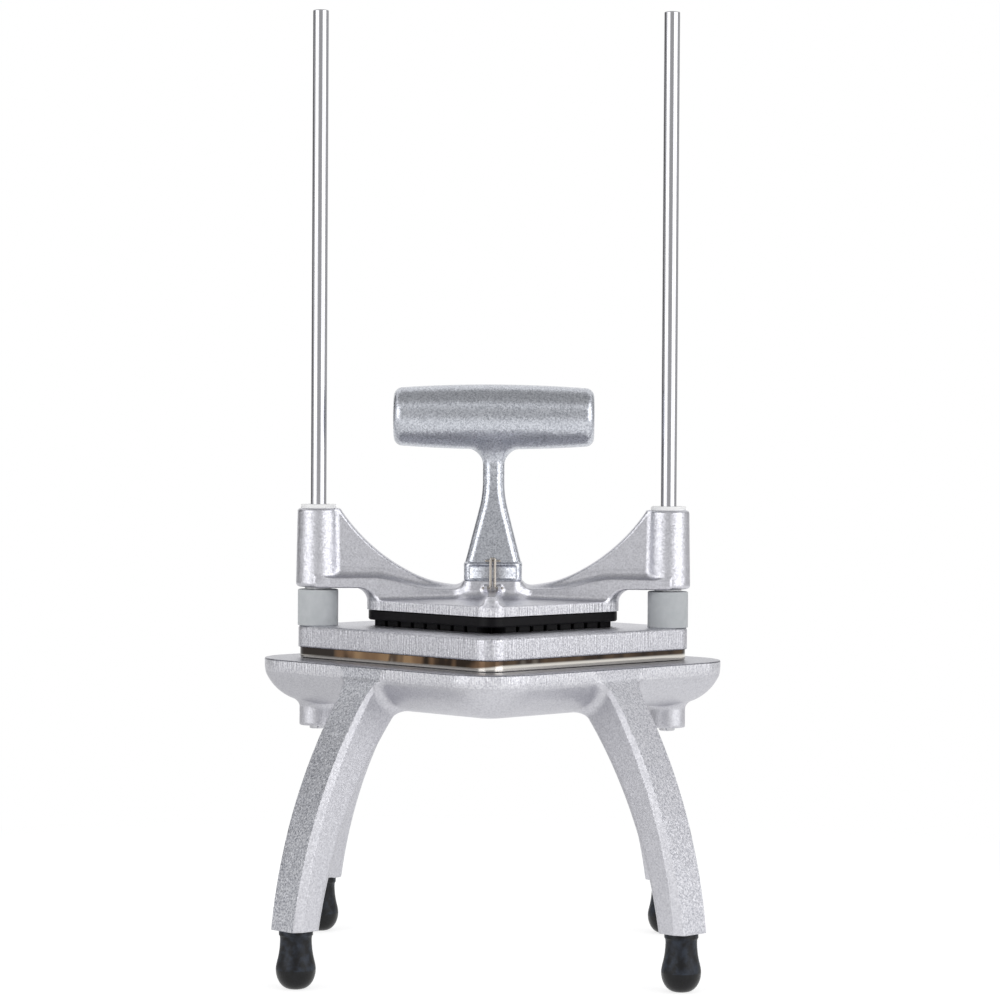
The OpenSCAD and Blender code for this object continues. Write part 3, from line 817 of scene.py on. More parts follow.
@dataclass(frozen=True)
class GroundSteel(Finish):
    """Ground or rolled steel: a bright mirror with fine lines that run one way.

    The grinding lines are drawn some ten times coarser than real ones, which no picture of
    the whole object would show. They stretch and soften what the metal mirrors.
    """

    colour: str = "#C2C2C6"
    roughness: float = 0.13
    lines: tuple[float, float, float] = (3.333, 3.333, 0.38462)
    strength: float = 0.05
    depth: float = 0.2
    smear: float = 11.111
    wiped: tuple[float, float] = (0.7, 1.4)

    def surface(self, tree: bpy.types.NodeTree, place: bpy.types.NodeSocket) -> dict[str, object]:
        """Raise the lines a little, and vary the gloss as wiping with a rag does.

        Args:
            tree: Where the nodes go.
            place: Coordinates of the piece, in metres.

        Returns:
            What the shader's inputs get, by name.
        """
        lines = add_node(
            tree, "ShaderNodeMapping", {"Vector": place, "Scale": per_metre(*self.lines)}
        )
        lines = add_node(tree, "ShaderNodeTexNoise", {"Vector": lines, "Scale": 1.0})
        smear = add_node(
            tree, "ShaderNodeTexNoise", {"Vector": place, "Scale": per_metre(self.smear)[0]}
        )
        depth = {"Strength": self.strength, "Distance": self.depth * MM}
        smooth, rough = (self.roughness * share for share in self.wiped)
        gloss = {"To Min": smooth, "To Max": rough}
        return {
            "Base Color": linear(self.colour),
            "Metallic": 1.0,
            "Roughness": add_node(tree, "ShaderNodeMapRange", {"Value": smear, **gloss}),
            "Normal": add_node(tree, "ShaderNodeBump", {"Height": lines, **depth}),
        }


@dataclass(frozen=True)
class PaintedReflectionBand(Finish):
    """Rolled stainless strip: a sharp mirror, with painted reflections, brown and gold, along its
    top.

    The painted reflection patches are some 34 mm long. To the right of the front corner they fade
    into one dark line, and at the band's left end they stop.
    """

    # Plain colour of the lower band, the dark painted reflection that the patches fade into, and
    # the painted reflection patches
    clean: str = "#D9D5CE"
    faded: str = "#332E2B"
    reflection_colours: tuple[tuple[float, str], ...] = (
        (0.0, "#1A1613"), (0.42, "#2E2620"), (0.48, "#6E5743"), (0.55, "#8E7458"),
        (0.6, "#4A3D34"), (0.65, "#B9AFA0"),
    )
    reflection_patch: tuple[float, float, float] = (34.0, 34.0, 83.333)
    clean_top: float = 151.9
    reflection_from: float = 153.2
    right_x: tuple[float, float] = (-8.0, 6.0)
    right_fade: float = 0.75
    right_rise: float = 2.0
    left_end_x: tuple[float, float] = (-76.0, -78.5)
    roughness: float = 0.07

    def surface(self, tree: bpy.types.NodeTree, place: bpy.types.NodeSocket) -> dict[str, object]:
        """Paint reflections on the band's upper part, patch by patch.

        Args:
            tree: Where the nodes go.
            place: Coordinates of the piece, in metres.

        Returns:
            What the shader's inputs get, by name.
        """
        patch = add_node(
            tree, "ShaderNodeMapping", {"Vector": place, "Scale": per_metre(*self.reflection_patch)}
        )
        patch = add_node(
            tree, "ShaderNodeTexNoise",
            {"Vector": patch, "Scale": 1.0, "Detail": 3.0, "Roughness": 0.6},
        )
        reflection_patch = add_node(tree, "ShaderNodeValToRGB", {"Fac": patch})
        for at, _ in self.reflection_colours[1:-1]:
            reflection_patch.color_ramp.elements.new(at)
        for element, (at, code) in zip(reflection_patch.color_ramp.elements, self.reflection_colours):
            element.position = at
            element.color = linear(code)
        along = add_node(tree, "ShaderNodeSeparateXYZ", {"Vector": place})
        right, left_end = (
            add_node(
                tree, "ShaderNodeMapRange",
                {"Value": along, "From Min": low * MM, "From Max": high * MM, "To Max": most},
            )
            for (low, high), most in ((self.right_x, self.right_fade), (self.left_end_x, 1.0))
        )
        fade = add_node(tree, "ShaderNodeMath", {0: right, 1: left_end}, operation="MAXIMUM")
        reflection_patch = add_node(
            tree, "ShaderNodeMix", {0: fade, 6: reflection_patch, 7: linear(self.faded)}, data_type="RGBA"
        )
        height = add_node(
            tree, "ShaderNodeMath",
            {0: right, 1: -self.right_rise * MM, 2: along.outputs["Z"]}, operation="MULTIPLY_ADD",
        )
        edge = {"From Min": self.clean_top * MM, "From Max": self.reflection_from * MM}
        share = add_node(
            tree, "ShaderNodeMapRange", {"Value": height, **edge},
            interpolation_type="SMOOTHSTEP",
        )
        colour = add_node(
            tree, "ShaderNodeMix",
            {0: share, 6: linear(self.clean), 7: reflection_patch.outputs[2]}, data_type="RGBA",
        )
        return {"Base Color": colour.outputs[2], "Metallic": 1.0, "Roughness": self.roughness}


@dataclass(frozen=True)
class Moulded(Finish):
    """Moulded rubber or nylon: a dull skin with a fine pebble and paler dust or bloom.

    The pebble is drawn about twice as coarse as a real mould's, which breaks up highlights.
    """

    colour: str
    bloom: str
    roughness: float
    pebble: float = 0.7
    strength: float = 0.25
    depth: float = 0.3
    cloud: float = 3.846
    uneven: float = 0.08
    spread: tuple[float, float] = (0.35, 0.75)
    shine: float = 0.5

    def surface(self, tree: bpy.types.NodeTree, place: bpy.types.NodeSocket) -> dict[str, object]:
        """Pebble the skin, and let clouds of bloom make it paler and its gloss uneven.

        Args:
            tree: Where the nodes go.
            place: Coordinates of the piece, in metres.

        Returns:
            What the shader's inputs get, by name.
        """
        pebbles, clouds = per_metre(self.pebble, self.cloud)
        pebble = add_node(tree, "ShaderNodeTexNoise", {"Vector": place, "Scale": pebbles})
        cloud = add_node(
            tree, "ShaderNodeTexNoise", {"Vector": place, "Scale": clouds, "Detail": 4.0}
        )
        spread = {"From Min": self.spread[0], "From Max": self.spread[1]}
        share = add_node(tree, "ShaderNodeMapRange", {"Value": cloud, **spread})
        colour = add_node(
            tree, "ShaderNodeMix",
            {0: share, 6: linear(self.colour), 7: linear(self.bloom)}, data_type="RGBA",
        )
        depth = {"Strength": self.strength, "Distance": self.depth * MM}
        smooth, rough = self.roughness - self.uneven, self.roughness + self.uneven
        gloss = {"To Min": smooth, "To Max": rough}
        return {
            "Base Color": colour.outputs[2],
            "Roughness": add_node(tree, "ShaderNodeMapRange", {"Value": cloud, **gloss}),
            "Specular IOR Level": self.shine,
            "Normal": add_node(tree, "ShaderNodeBump", {"Height": pebble, **depth}),
        }


class Look(Enum):
    """Every finish of the chopper."""

    # Tumbled casting: an even satin grey with a lively sparkle
    CAST = CastAluminium("cast_aluminium")
    # Base as cast: duller, with wide soft highlights
    BASE = CastAluminium("cast_base_aluminium", "#CFCFD4", "#BBBBC1", tilt=0.14, roughness=0.44)
    # Belt-linished sides, with upright lines: lighter, partly from the belt and partly a painted
    # highlight
    LINISHED_PAINTED_HIGHLIGHT = CastAluminium("linished_aluminium_painted_highlight", "#E0E0E4", "#B8B8C0", tilt=0.08, streak=1.0)
    # Frame, linished less: its lines are fainter and its grains still glint
    FRAME = CastAluminium("linished_frame_aluminium", "#D8D8DD", "#ACACB4", tilt=0.12, streak=0.65)
    # Outer faces of the right legs, tumbled: light and speckled; the left legs get a darker copy as
    # painted shade
    TUMBLED = CastAluminium(
        "tumbled_leg_aluminium", "#DADADF", "#A6A7AF", tilt=0.095, roughness=0.38
    )
    # The same faces of the left legs, with darker specks that grey them: painted shade, since less
    # light falls on the left legs
    LEFT_LEG_PAINTED_SHADE = CastAluminium("tumbled_leg_painted_shade", "#DCDDE2", "#93959E", tilt=0.13)
    # Machined deck: little sparkle, its grey darkened as a painted reflection of the dark band
    # above it
    DECK_PAINTED_REFLECTION = CastAluminium("machined_deck_painted_reflection", "#C0C0C6", "#9C9CA4", tilt=0.1)
    # The deck's edge: a thin dark line along the rim's top, a painted reflection of the dark
    # ceiling
    EDGE = CastAluminium("deck_edge_painted_reflection", "#9A9AA1", "#6F7078", tilt=0.1)
    # Handle burnished by hands: glossy enough to show dark and light bands
    HANDLE = CastAluminium(
        "burnished_handle_aluminium", "#D8DBE2", "#A4A7AF", tilt=0.14, roughness=0.27
    )
    # Centreless-ground rod: upright bands of light and dark, finely lined across
    ROD = GroundSteel("ground_rod")
    # Blades: bright, with grinding marks that run no one way
    BLADE = GroundSteel("ground_blade_steel", "#CDCED1", 0.2, lines=(1.111, 1.111, 1.111))
    # Stainless strip: a sharp mirror, with painted brown and gold reflections along its top
    BAND = PaintedReflectionBand("band_steel_painted_reflections")
    # Zinc plate: a soft grey gleam
    SCREW = GroundSteel("zinc_plated_screw", "#B9BABD", 0.28)
    # Drawn and plated spring wire: a narrow, slightly warm gleam
    SPRING = GroundSteel("plated_spring_wire", "#ABA59E", 0.2)
    # Moulded rubber of the feet's waists: black under blue-grey dust
    FOOT = Moulded("foot_rubber", "#0D0E12", "#2C323D", 0.46, spread=(0.42, 0.66), shine=0.28)
    # Their bulbs: a darker, glossier black
    BULB = Moulded("foot_bulb_rubber", "#08080A", "#131418", 0.3, shine=0.3)
    # Soft rubber of the bumpers: a flat pale grey, almost without highlights
    BUMPER = Moulded("bumper_rubber", "#BCC0C3", "#C6C9CC", 0.62, strength=0.12)
    # Moulded nylon of the block: near-black with a faint sheen
    BLOCK = Moulded("block_nylon", "#08070A", "#110F13", 0.38, strength=0.12, shine=0.14)
    # Turned nylon of the bushings: an even milky white
    BUSHING = Moulded("bushing_nylon", "#FAFAFB", "#FCFCFC", 0.42, strength=0.08)


class Body(Enum):
    """CAD bodies that pieces ride on."""

    STAND = "stand"
    PUSHER = "pusher"
    FRONT_CLIP = "front_clip"
    REAR_CLIP = "rear_clip"


@dataclass(frozen=True)
class Dresser:
    """Adds finished pieces to the frame and reports them."""

    materials: dict[Look, bpy.types.Material] = field(
        default_factory=lambda: {look: look.value.material() for look in Look}
    )

    def add(
        self, name: str, skin: Skin, looks: Sequence[Look], body: Body, slot: str, node: str
    ) -> None:
        """Make one piece.

        Args:
            name: Name of the piece.
            skin: Its mesh.
            looks: Its finishes, in the order of the skin's numbers.
            body: CAD body that it rides on.
            slot: Material slot of the record; not used.
            node: CAD node that it stands for.
        """
        piece = blender_mesh(name, skin)
        for look in looks:
            piece.data.materials.append(self.materials[look])
        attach(piece, body.value)
        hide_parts(node)
        log.info("%s: %d faces, on %s", name, len(piece.data.polygons), body.value)


# The stand


@dataclass
class BaseCasting:
    """Square tray seen corner-on, with a boss under each rod and four bowed legs."""

    deck_z: float = 151.0
    deck_h: float = 22.0
    corner_r: float = 26.45
    deck_edge_r: float = 0.7
    linished_h: float = 6.6
    curve_run: float = 22.8
    curve_z: float = 153.3
    curve_r: float = 24.3
    rim_kink_r: float = 0.9
    opening_half: float = 44.86
    opening_r: float = 4.0
    opening_edge_r: float = 1.2
    bore_edge_r: float = 0.3
    boss_r: float = 9.0
    boss_z: float = 117.3
    boss_sink: float = 4.0
    boss_edge_r: float = 0.9
    boss_fillet: float = 3.2
    foot_out: float = 41.6
    leg_end_t: float = 16.2
    leg_root_t: float = 16.8
    leg_end_w: float = 20.2
    leg_root_w: float = 20.8
    leg_splay: float = 38.5
    inner_splay: float = 41.5
    leg_top: float = 147.2
    leg_cap: float = 1.0
    leg_sink: float = 0.2
    leg_end_edge_r: float = 0.5
    flare_r: float = 6.0
    bevel_wide: float = 2.3
    bevel_deep: float = 4.3
    bevel_top_share: float = 0.5
    spread_from: float = 133.0
    leg_spread: float = 5.0
    leg_inner_edge_r: float = 3.6
    root_fillet: float = 5.0
    side_near: float = 0.5
    face_near: float = 0.06
    top_near: float = 0.6
    edge_near: float = 0.9
    edge_level: tuple[float, float] = (0.2, 0.9)
    grid_z: tuple[float, float] = (20.0, 156.0)
    cell: float = 1.08

    def __post_init__(self) -> None:
        """Work out the curves of the legs."""
        self.half = ROD_X / ROOT2 + self.corner_r
        self.flare_c = self.half - self.leg_sink + self.flare_r
        splay = math.radians(self.leg_splay)
        start = (
            self.flare_c - self.flare_r * math.cos(splay),
            self.leg_top - self.flare_r * math.sin(splay),
        )
        self.flare_end_z = start[1]
        reach = self.half + self.foot_out
        self.outer = Bow.through(start, (reach + self.leg_end_t / 2, LEG_END_Z), self.leg_splay)
        root = (start[0] - self.leg_root_t, self.deck_z - self.deck_h)
        self.inside = Bow.through(root, (reach - self.leg_end_t / 2, LEG_END_Z), self.inner_splay)

    def side(self, u: Array, v: Array) -> Array:
        """Distance in plan to the tray's outline."""
        return rounded_rect(u, v, self.half, self.half, self.corner_r)

    def leg_face(self, reach: Array, z: Array) -> Array:
        """Distance to the outer faces of the legs, from the rim's flare down to the feet.

        Args:
            reach: Distance from the middle in the legs' direction.
            z: Height.

        Returns:
            Distances, negative inside.
        """
        run = np.minimum(reach - self.flare_c, 0.0)
        flare = self.flare_r - np.hypot(run, z - self.leg_top)
        return np.where(z > self.flare_end_z, flare, self.outer.outside(reach, z))

    def leg_rise(self, z: Array) -> Array:
        """0 at the legs' lower ends, 1 at the deck."""
        return (z - LEG_END_Z) / (self.deck_z - LEG_END_Z)

    def leg_half(self, z: Array) -> Array:
        """Half the width of a leg, which spreads where it runs into the rim.

        Args:
            z: Height.

        Returns:
            Half widths.
        """
        spread = np.clip((z - self.spread_from) / (self.deck_z - self.spread_from), 0.0, 1.0)
        wide = self.leg_end_w + (self.leg_root_w - self.leg_end_w) * self.leg_rise(z)
        return wide / 2 + self.leg_spread * spread**2

    def leg(self, reach: Array, across: Array, z: Array) -> Array:
        """Distance to one leg, without its root's fillets.

        Args:
            reach: Distance from the middle in the legs' direction.
            across: Distance from the leg's middle line.
            z: Height.

        Returns:
            Distances, negative inside.
        """
        face = self.leg_face(reach, z)
        flank = np.abs(across) - self.leg_half(z)
        size = 1.0 - (1.0 - self.bevel_top_share) * self.leg_rise(z)
        bevel = (
            flank * self.bevel_deep + face * self.bevel_wide
            + self.bevel_wide * self.bevel_deep * size
        ) / math.hypot(self.bevel_wide, self.bevel_deep)
        body = np.maximum(np.maximum(face, flank), bevel)
        body = meet(body, -self.inside.outside(reach, z), self.leg_inner_edge_r)
        body = meet(body, LEG_END_Z - z, self.leg_end_edge_r)
        return np.maximum(body, z - self.leg_top + self.leg_cap)

    def tray(self, outline: Array, z: Array) -> Array:
        """Distance to the tray, whose belly curves in under an upright rim.

        Args:
            outline: Distance in plan to the outline.
            z: Height.

        Returns:
            Distances, negative inside.
        """
        belly = np.where(
            outline > -self.curve_run,
            np.hypot(outline + self.curve_run, z - self.curve_z) - self.curve_r,
            self.curve_z - self.curve_r - z,
        )
        tray = meet(outline, belly, self.rim_kink_r)
        return meet(tray, z - self.deck_z, self.deck_edge_r)

    def shape(self, points: Array) -> Array:
        """Distance to the casting.

        Args:
            points: Rows of X, Y and Z.

        Returns:
            Distances, negative inside.
        """
        u, v = turned(points)
        z = points[:, 2]
        outline = self.side(u, v)
        reach, across = along_legs(u, v)
        whole = join(self.tray(outline, z), self.leg(reach, across, z), self.root_fillet)
        whole = np.maximum(whole, np.minimum(outline, self.leg_face(reach, z)))
        whole = np.maximum(whole, z - self.deck_z)
        rods = from_rods(points)
        boss = meet(rods - self.boss_r, self.boss_z - z, self.boss_edge_r)
        boss = np.maximum(boss, z - self.deck_z + self.boss_sink)
        whole = join(whole, boss, self.boss_fillet)
        opening = rounded_rect(u, v, self.opening_half, self.opening_half, self.opening_r)
        whole = cut(whole, opening, self.opening_edge_r)
        return cut(whole, rods - ROD_R, self.bore_edge_r)

    def finish_of(self, skin: Skin) -> Array:
        """Numbers of the faces' finishes, in the order in which build() names them.

        Args:
            skin: The casting's mesh.

        Returns:
            One number a face.
        """
        centres = skin.points[skin.faces].mean(axis=1)
        z = centres[:, 2]
        level = np.abs(skin.normals.reshape(-1, 4, 3).mean(axis=1)[:, 2])
        u, v = turned(centres)
        reach, across = along_legs(u, v)
        outside = self.side(u, v) > -self.side_near
        steep, flat = self.edge_level
        rim = outside & (z > self.deck_z - self.linished_h)
        # Deck top: the darker finish, a painted reflection of the dark band above it
        top = (z > self.deck_z - self.top_near) & (level > flat)
        # Deck edge: the dark finish, a painted reflection of the dark ceiling
        edge = rim & (z > self.deck_z - self.edge_near) & (level > steep) & (level < flat)
        face = np.abs(self.leg_face(reach, z)) < self.face_near
        face |= outside & (z > self.flare_end_z)
        face &= across < self.leg_half(z)
        # Outer faces of the left legs take the darker copy of their finish: painted shade
        dull = face & (centres[:, 0] < 0.0)
        return np.select([edge, top, dull, face, rim], [5, 4, 3, 2, 1], 0)

    def build(self, dresser: Dresser) -> None:
        """Add the casting.

        Args:
            dresser: Adds the pieces.
        """
        reach = self.half + self.foot_out + self.leg_end_t
        low, high = self.grid_z
        mould = Moulder((-reach, -reach, low), (reach, reach, high), self.cell)
        made = corner_on(mould, self.shape)
        made.finish_of = self.finish_of(made)
        looks = [Look.BASE, Look.LINISHED_PAINTED_HIGHLIGHT, Look.TUMBLED, Look.LEFT_LEG_PAINTED_SHADE, Look.DECK_PAINTED_REFLECTION, Look.EDGE]
        dresser.add("cast_base", made, looks, Body.STAND, "cast_aluminium", "base_casting")


def along_legs(u: Array, v: Array) -> tuple[Array, Array]:
    """Distances along the nearest leg's direction and across it, from the middle."""
    return np.maximum(np.abs(u), np.abs(v)), np.minimum(np.abs(u), np.abs(v))


def corner_on(mould: Moulder, shape: Shape) -> Skin:
    """Mesh of a shape that stands corner-on, from a grid that lies along its sides."""
    return mould.skin(lambda points: shape(unturned(points))).spun(45.0)


@dataclass
class RubberFeet:
    """Four moulded feet: a lip under the leg, a waist and a bulb."""

    reach: float = 129.2
    bulb_z: float = 9.3
    bulb_core: float = 2.6
    bulb_r: float = 6.9
    core_r: float = 0.3
    sides: int = 72
    waist: tuple[tuple[float, float], ...] = (
        (9.45, 10.4), (9.2, 11.9), (8.85, 13.4), (8.45, 15.0), (8.1, 16.8), (7.8, 18.8),
        (7.6, 21.0), (7.5, 23.2), (7.55, 24.6), (7.75, 25.3), (8.1, 25.7), (8.1, 27.7),
        (7.9, LEG_END_Z),
    )
    names: tuple[tuple[str, float], ...] = (
        ("front_left", -135.0), ("front_right", -45.0), ("rear_left", 135.0), ("rear_right", 45.0),
    )

    def outline(self) -> Array:
        """Half of the foot's side view.

        Returns:
            (radius, height) points, anticlockwise.
        """
        turns = np.radians(np.arange(-84, 1, 6))
        dome = np.column_stack([
            self.bulb_core + self.bulb_r * np.cos(turns), self.bulb_z * (1 + np.sin(turns))
        ])
        return np.vstack([(self.core_r, 0.0), dome, self.waist, (self.core_r, LEG_END_Z)])

    def build(self, dresser: Dresser) -> None:
        """Add the four feet.

        Args:
            dresser: Adds the pieces.
        """
        skin = lathe(self.outline(), self.sides).moved(self.reach)
        skin.finish_of = (skin.points[skin.faces].mean(axis=1)[:, 2] < self.bulb_z).astype(int)
        for name, angle in self.names:
            dresser.add(
                f"rubber_foot_{name}", skin.spun(angle), [Look.FOOT, Look.BULB], Body.STAND,
                "foot_rubber", f"foot_{name}",
            )


@dataclass
class GuideRods:
    """Two ground rods with a small chamfer at each end."""

    low: float = 115.5
    high: float = 474.0
    chamfer: float = 0.6
    core_r: float = 0.3
    sides: int = 64
    rings: int = 24
    end_ring: float = 2.0

    def build(self, dresser: Dresser) -> None:
        """Add the rods, with enough rings that no quad is a splinter.

        Args:
            dresser: Adds the pieces.
        """
        outline = rounded_outline([
            (self.core_r, self.low, 0.0), (ROD_R, self.low, self.chamfer),
            (ROD_R, self.high, self.chamfer), (self.core_r, self.high, 0.0),
        ])
        place = int(np.argmax(np.diff(outline[:, 1]))) + 1
        ends = self.low + self.end_ring, self.high - self.end_ring
        heights = np.linspace(*ends, self.rings)
        rings = np.column_stack([np.full(self.rings, ROD_R), heights])
        outline = np.insert(outline, place, rings, axis=0)
        for name, x in SIDES:
            dresser.add(
                f"steel_rod_{name}", lathe(outline, self.sides).moved(x), [Look.ROD],
                Body.STAND, "rod_steel", f"guide_rod_{name}",
            )


@dataclass
class BladeFrame:
    """Thick square frame with a soft top edge, and the folded band under it."""

    hole_r: float = 4.07
    hole_edge_r: float = 0.2
    low: float = 156.5
    corner_r: float = 9.7
    edge_r: float = 1.5
    lower_edge_r: float = 0.4
    window: float = 42.86
    window_r: float = 2.0
    window_edge_r: float = 0.8
    band_low: float = 151.3
    band_inset: float = 0.9
    band_t: float = 1.5
    band_bevel: float = 0.25
    grid_room: float = 2.0
    cell: float = 0.8

    def __post_init__(self) -> None:
        """Work out the frame's half width."""
        self.half = ROD_X / ROOT2 + self.corner_r

    def shape(self, points: Array) -> Array:
        """Distance to the frame.

        Args:
            points: Rows of X, Y and Z.

        Returns:
            Distances, negative inside.
        """
        u, v = turned(points)
        z = points[:, 2]
        outline = rounded_rect(u, v, self.half, self.half, self.corner_r)
        slab = meet(outline, z - FRAME_TOP_Z, self.edge_r)
        slab = meet(slab, self.low - z, self.lower_edge_r)
        window = rounded_rect(u, v, self.window, self.window, self.window_r)
        slab = cut(slab, window, self.window_edge_r)
        return cut(slab, from_rods(points) - self.hole_r, self.hole_edge_r)

    def band(self) -> Skin:
        """Folded steel band between the deck and the frame, a little inside the frame's edge."""
        outside, inside = (
            square_plan(self.half - inset, self.corner_r - inset)
            for inset in (self.band_inset, self.band_inset + self.band_t)
        )
        return outline_prism(outside, self.band_low, self.low, self.band_bevel, inside).spun(45.0)

    def build(self, dresser: Dresser) -> None:
        """Add the frame and its band.

        Args:
            dresser: Adds the pieces.
        """
        half = self.half + self.grid_room
        low, high = self.low - self.grid_room, FRAME_TOP_Z + self.grid_room
        mould = Moulder((-half, -half, low), (half, half, high), self.cell)
        dresser.add(
            "cast_blade_frame", corner_on(mould, self.shape), [Look.FRAME], Body.STAND,
            "frame_aluminium", "blade_frame",
        )
        dresser.add("steel_band", self.band(), [Look.BAND], Body.STAND, "band_steel", "blade_band")


@dataclass
class Bumpers:
    """Two rubber sleeves round the rods."""

    r: float = 10.1
    high: float = 185.2
    low_edge_r: float = 0.4
    top_edge_r: float = 0.7
    bore_edge_r: float = 0.5

    def build(self, dresser: Dresser) -> None:
        """Add the bumpers.

        Args:
            dresser: Adds the pieces.
        """
        outline = rounded_outline([
            (ROD_R, FRAME_TOP_Z, 0.0), (self.r, FRAME_TOP_Z, self.low_edge_r),
            (self.r, self.high, self.top_edge_r), (ROD_R, self.high, self.bore_edge_r),
        ])
        for name, x in SIDES:
            dresser.add(
                f"rubber_bumper_{name}", lathe(outline).moved(x), [Look.BUMPER], Body.STAND,
                "bumper_rubber", f"bumper_{name}",
            )


# The pusher


@dataclass
class PusherCasting:
    """Yoke: two bosses on the rods, two hollow-backed arms, a hub and a ribbed square plate."""

    boss_top_r: float = 10.4
    boss_bottom_r: float = 11.1
    boss_top_edge_r: float = 1.6
    boss_foot_r: float = 2.4
    bore_edge_r: float = 0.3
    arm_t: float = 9.0
    arm_curve_z: float = 276.3
    arm_curve_r: float = 92.0
    arm_end_z: float = 225.3
    arm_edge_r: float = 1.6
    ledge_half: float = 9.0
    ledge_high: float = 191.3
    ledge_low: float = 186.0
    ledge_edge_r: float = 0.7
    ledge_fillet: float = 3.0
    ridge_from: float = 29.0
    ridge_to: float = 60.0
    swell_from: float = 66.0
    swell_run: float = 21.0
    under_fillet: float = 7.0
    web_fillet: float = 5.6
    boss_fillet: float = 1.8
    rim_top: float = 180.3
    plate_half: float = 47.4
    plate_r: float = 10.0
    plate_edge_r: float = 0.9
    roof_top: float = 181.9
    rib_half: float = 2.6
    rib_top: float = 185.0
    rib_draught: float = 0.2
    rib_deep: float = 9.0
    rib_edge_r: float = 1.2
    rib_fillet: float = 3.6
    hub_edge_r: float = 0.7
    hub_fillet: float = 6.0
    hub_reach: float = 25.4
    ear_x: float = 3.5
    ear_half_t: float = 0.8
    ear_r: float = 1.9
    ear_fillet: float = 0.3
    ledge_slopes: tuple[float, float] = (0.98, 0.99)
    rib_slope: float = 0.97
    side_near: float = 0.3
    side_clear: float = 0.4
    grid: tuple[tuple[float, float, float], tuple[float, float, float]] = (
        (-100.0, -65.0, 173.0), (100.0, 65.0, 228.0),
    )
    cell: float = 0.64

    def outline(self, x: Array, y: Array) -> tuple[Array, Array]:
        """Distance in plan to the plate's outline, and how far out points lie from its middle."""
        u, v = (x + y) / ROOT2, (y - x) / ROOT2
        return rounded_rect(u, v, self.plate_half, self.plate_half, self.plate_r), u

    def plate(self, outline: Array, out: Array, z: Array) -> Array:
        """Distance to the plate, whose roof falls towards its rim.

        Args:
            outline: Distance in plan to the outline.
            out: How far out points lie from the middle.
            z: Height.

        Returns:
            Distances, negative inside.
        """
        slope = (self.roof_top - self.rim_top) / (self.plate_half - self.ledge_half)
        roof = z - self.roof_top + slope * np.maximum(out - self.ledge_half, 0.0)
        return meet(outline, roof, self.plate_edge_r)

    def ledge(self, x: Array, y: Array, z: Array) -> Array:
        """Distance to the arms' broad lower flange, which swells towards the bosses.

        The slopes' factors keep the steepest parts from reading farther than they are.

        Args:
            x: Distance from the middle, sideways.
            y: Distance from the middle, to the front or rear.
            z: Height.

        Returns:
            Distances, negative inside.
        """
        rise = smoothstep((x - self.ridge_from) / (self.ridge_to - self.ridge_from))
        ridge = self.ledge_low + (self.ledge_high - self.ledge_low) * rise
        swell = smoothstep((x - self.swell_from) / self.swell_run)
        wide = self.ledge_half + (self.boss_bottom_r - self.ledge_half) * swell
        rising, widening = self.ledge_slopes
        ledge = meet((z - ridge) * rising, (y - wide) * widening, self.ledge_edge_r)
        return np.maximum(ledge, x - ROD_X)

    def web(self, x: Array, y: Array, z: Array) -> Array:
        """Distance to the arms' upright web, which sweeps up to the bosses in an arc.

        Args:
            x: Distance from the middle, sideways.
            y: Distance from the middle, to the front or rear.
            z: Height.

        Returns:
            Distances, negative inside.
        """
        curve = self.arm_curve_r - np.hypot(x, z - self.arm_curve_z)
        web = meet(curve, y - self.arm_t / 2, self.arm_edge_r)
        return np.maximum(np.maximum(web, x - ROD_X), z - self.arm_end_z)

    def rib(self, x: Array, z: Array) -> Array:
        """Distance to the rib that runs from the front corner to the rear one."""
        side = x - self.rib_half - self.rib_draught * np.clip(self.rib_top - z, 0, self.rib_deep)
        return meet(side, z - self.rib_top, self.rib_edge_r) * self.rib_slope

    def boss(self, rods: Array, z: Array) -> Array:
        """Distance to the bosses, which taper upwards.

        Args:
            rods: Distance in plan to the nearer rod's centre line.
            z: Height.

        Returns:
            Distances, negative inside.
        """
        share = (z - BOSS_LOW_Z) / (BOSS_HIGH_Z - BOSS_LOW_Z)
        radius = self.boss_bottom_r - (self.boss_bottom_r - self.boss_top_r) * share
        boss = meet(rods - radius, z - BOSS_HIGH_Z, self.boss_top_edge_r)
        return meet(boss, BOSS_LOW_Z - z, self.boss_foot_r)

    def ears(self, x: Array, y: Array, z: Array) -> Array:
        """Distance to the small ears that hold the clips' feet."""
        disc = np.hypot(y - CLIP_Y, z - CLIP_Z) - self.ear_r
        return np.maximum(np.abs(x - self.ear_x) - self.ear_half_t, disc)

    def shape(self, points: Array) -> Array:
        """Distance to the casting.

        Args:
            points: Rows of X, Y and Z.

        Returns:
            Distances, negative inside.
        """
        x, y, z = np.abs(points[:, 0]), np.abs(points[:, 1]), points[:, 2]
        outline, out = self.outline(x, y)
        whole = join(self.plate(outline, out, z), self.ledge(x, y, z), self.ledge_fillet)
        whole = join(whole, np.maximum(self.rib(x, z), outline), self.rib_fillet)
        whole = join(whole, self.web(x, y, z), self.web_fillet)
        hub = rounded_rect(x, y, HUB_HALF_X, HUB_HALF_Y, HUB_R)
        hubbed = meet(join(whole, hub, self.hub_fillet), z - HUB_TOP_Z, self.hub_edge_r)
        whole = np.where(x < self.hub_reach, hubbed, whole)
        rods = from_rods(points)
        whole = join(whole, self.boss(rods, z), self.boss_fillet)
        whole = np.maximum(whole, z - BOSS_HIGH_Z)
        under = join(BOSS_LOW_Z - z, outline, self.under_fillet)
        whole = np.maximum(meet(whole, under, self.plate_edge_r), PLATE_Z - z)
        whole = join(whole, self.ears(x, y, z), self.ear_fillet)
        return cut(whole, rods - BUSHING_R, self.bore_edge_r)

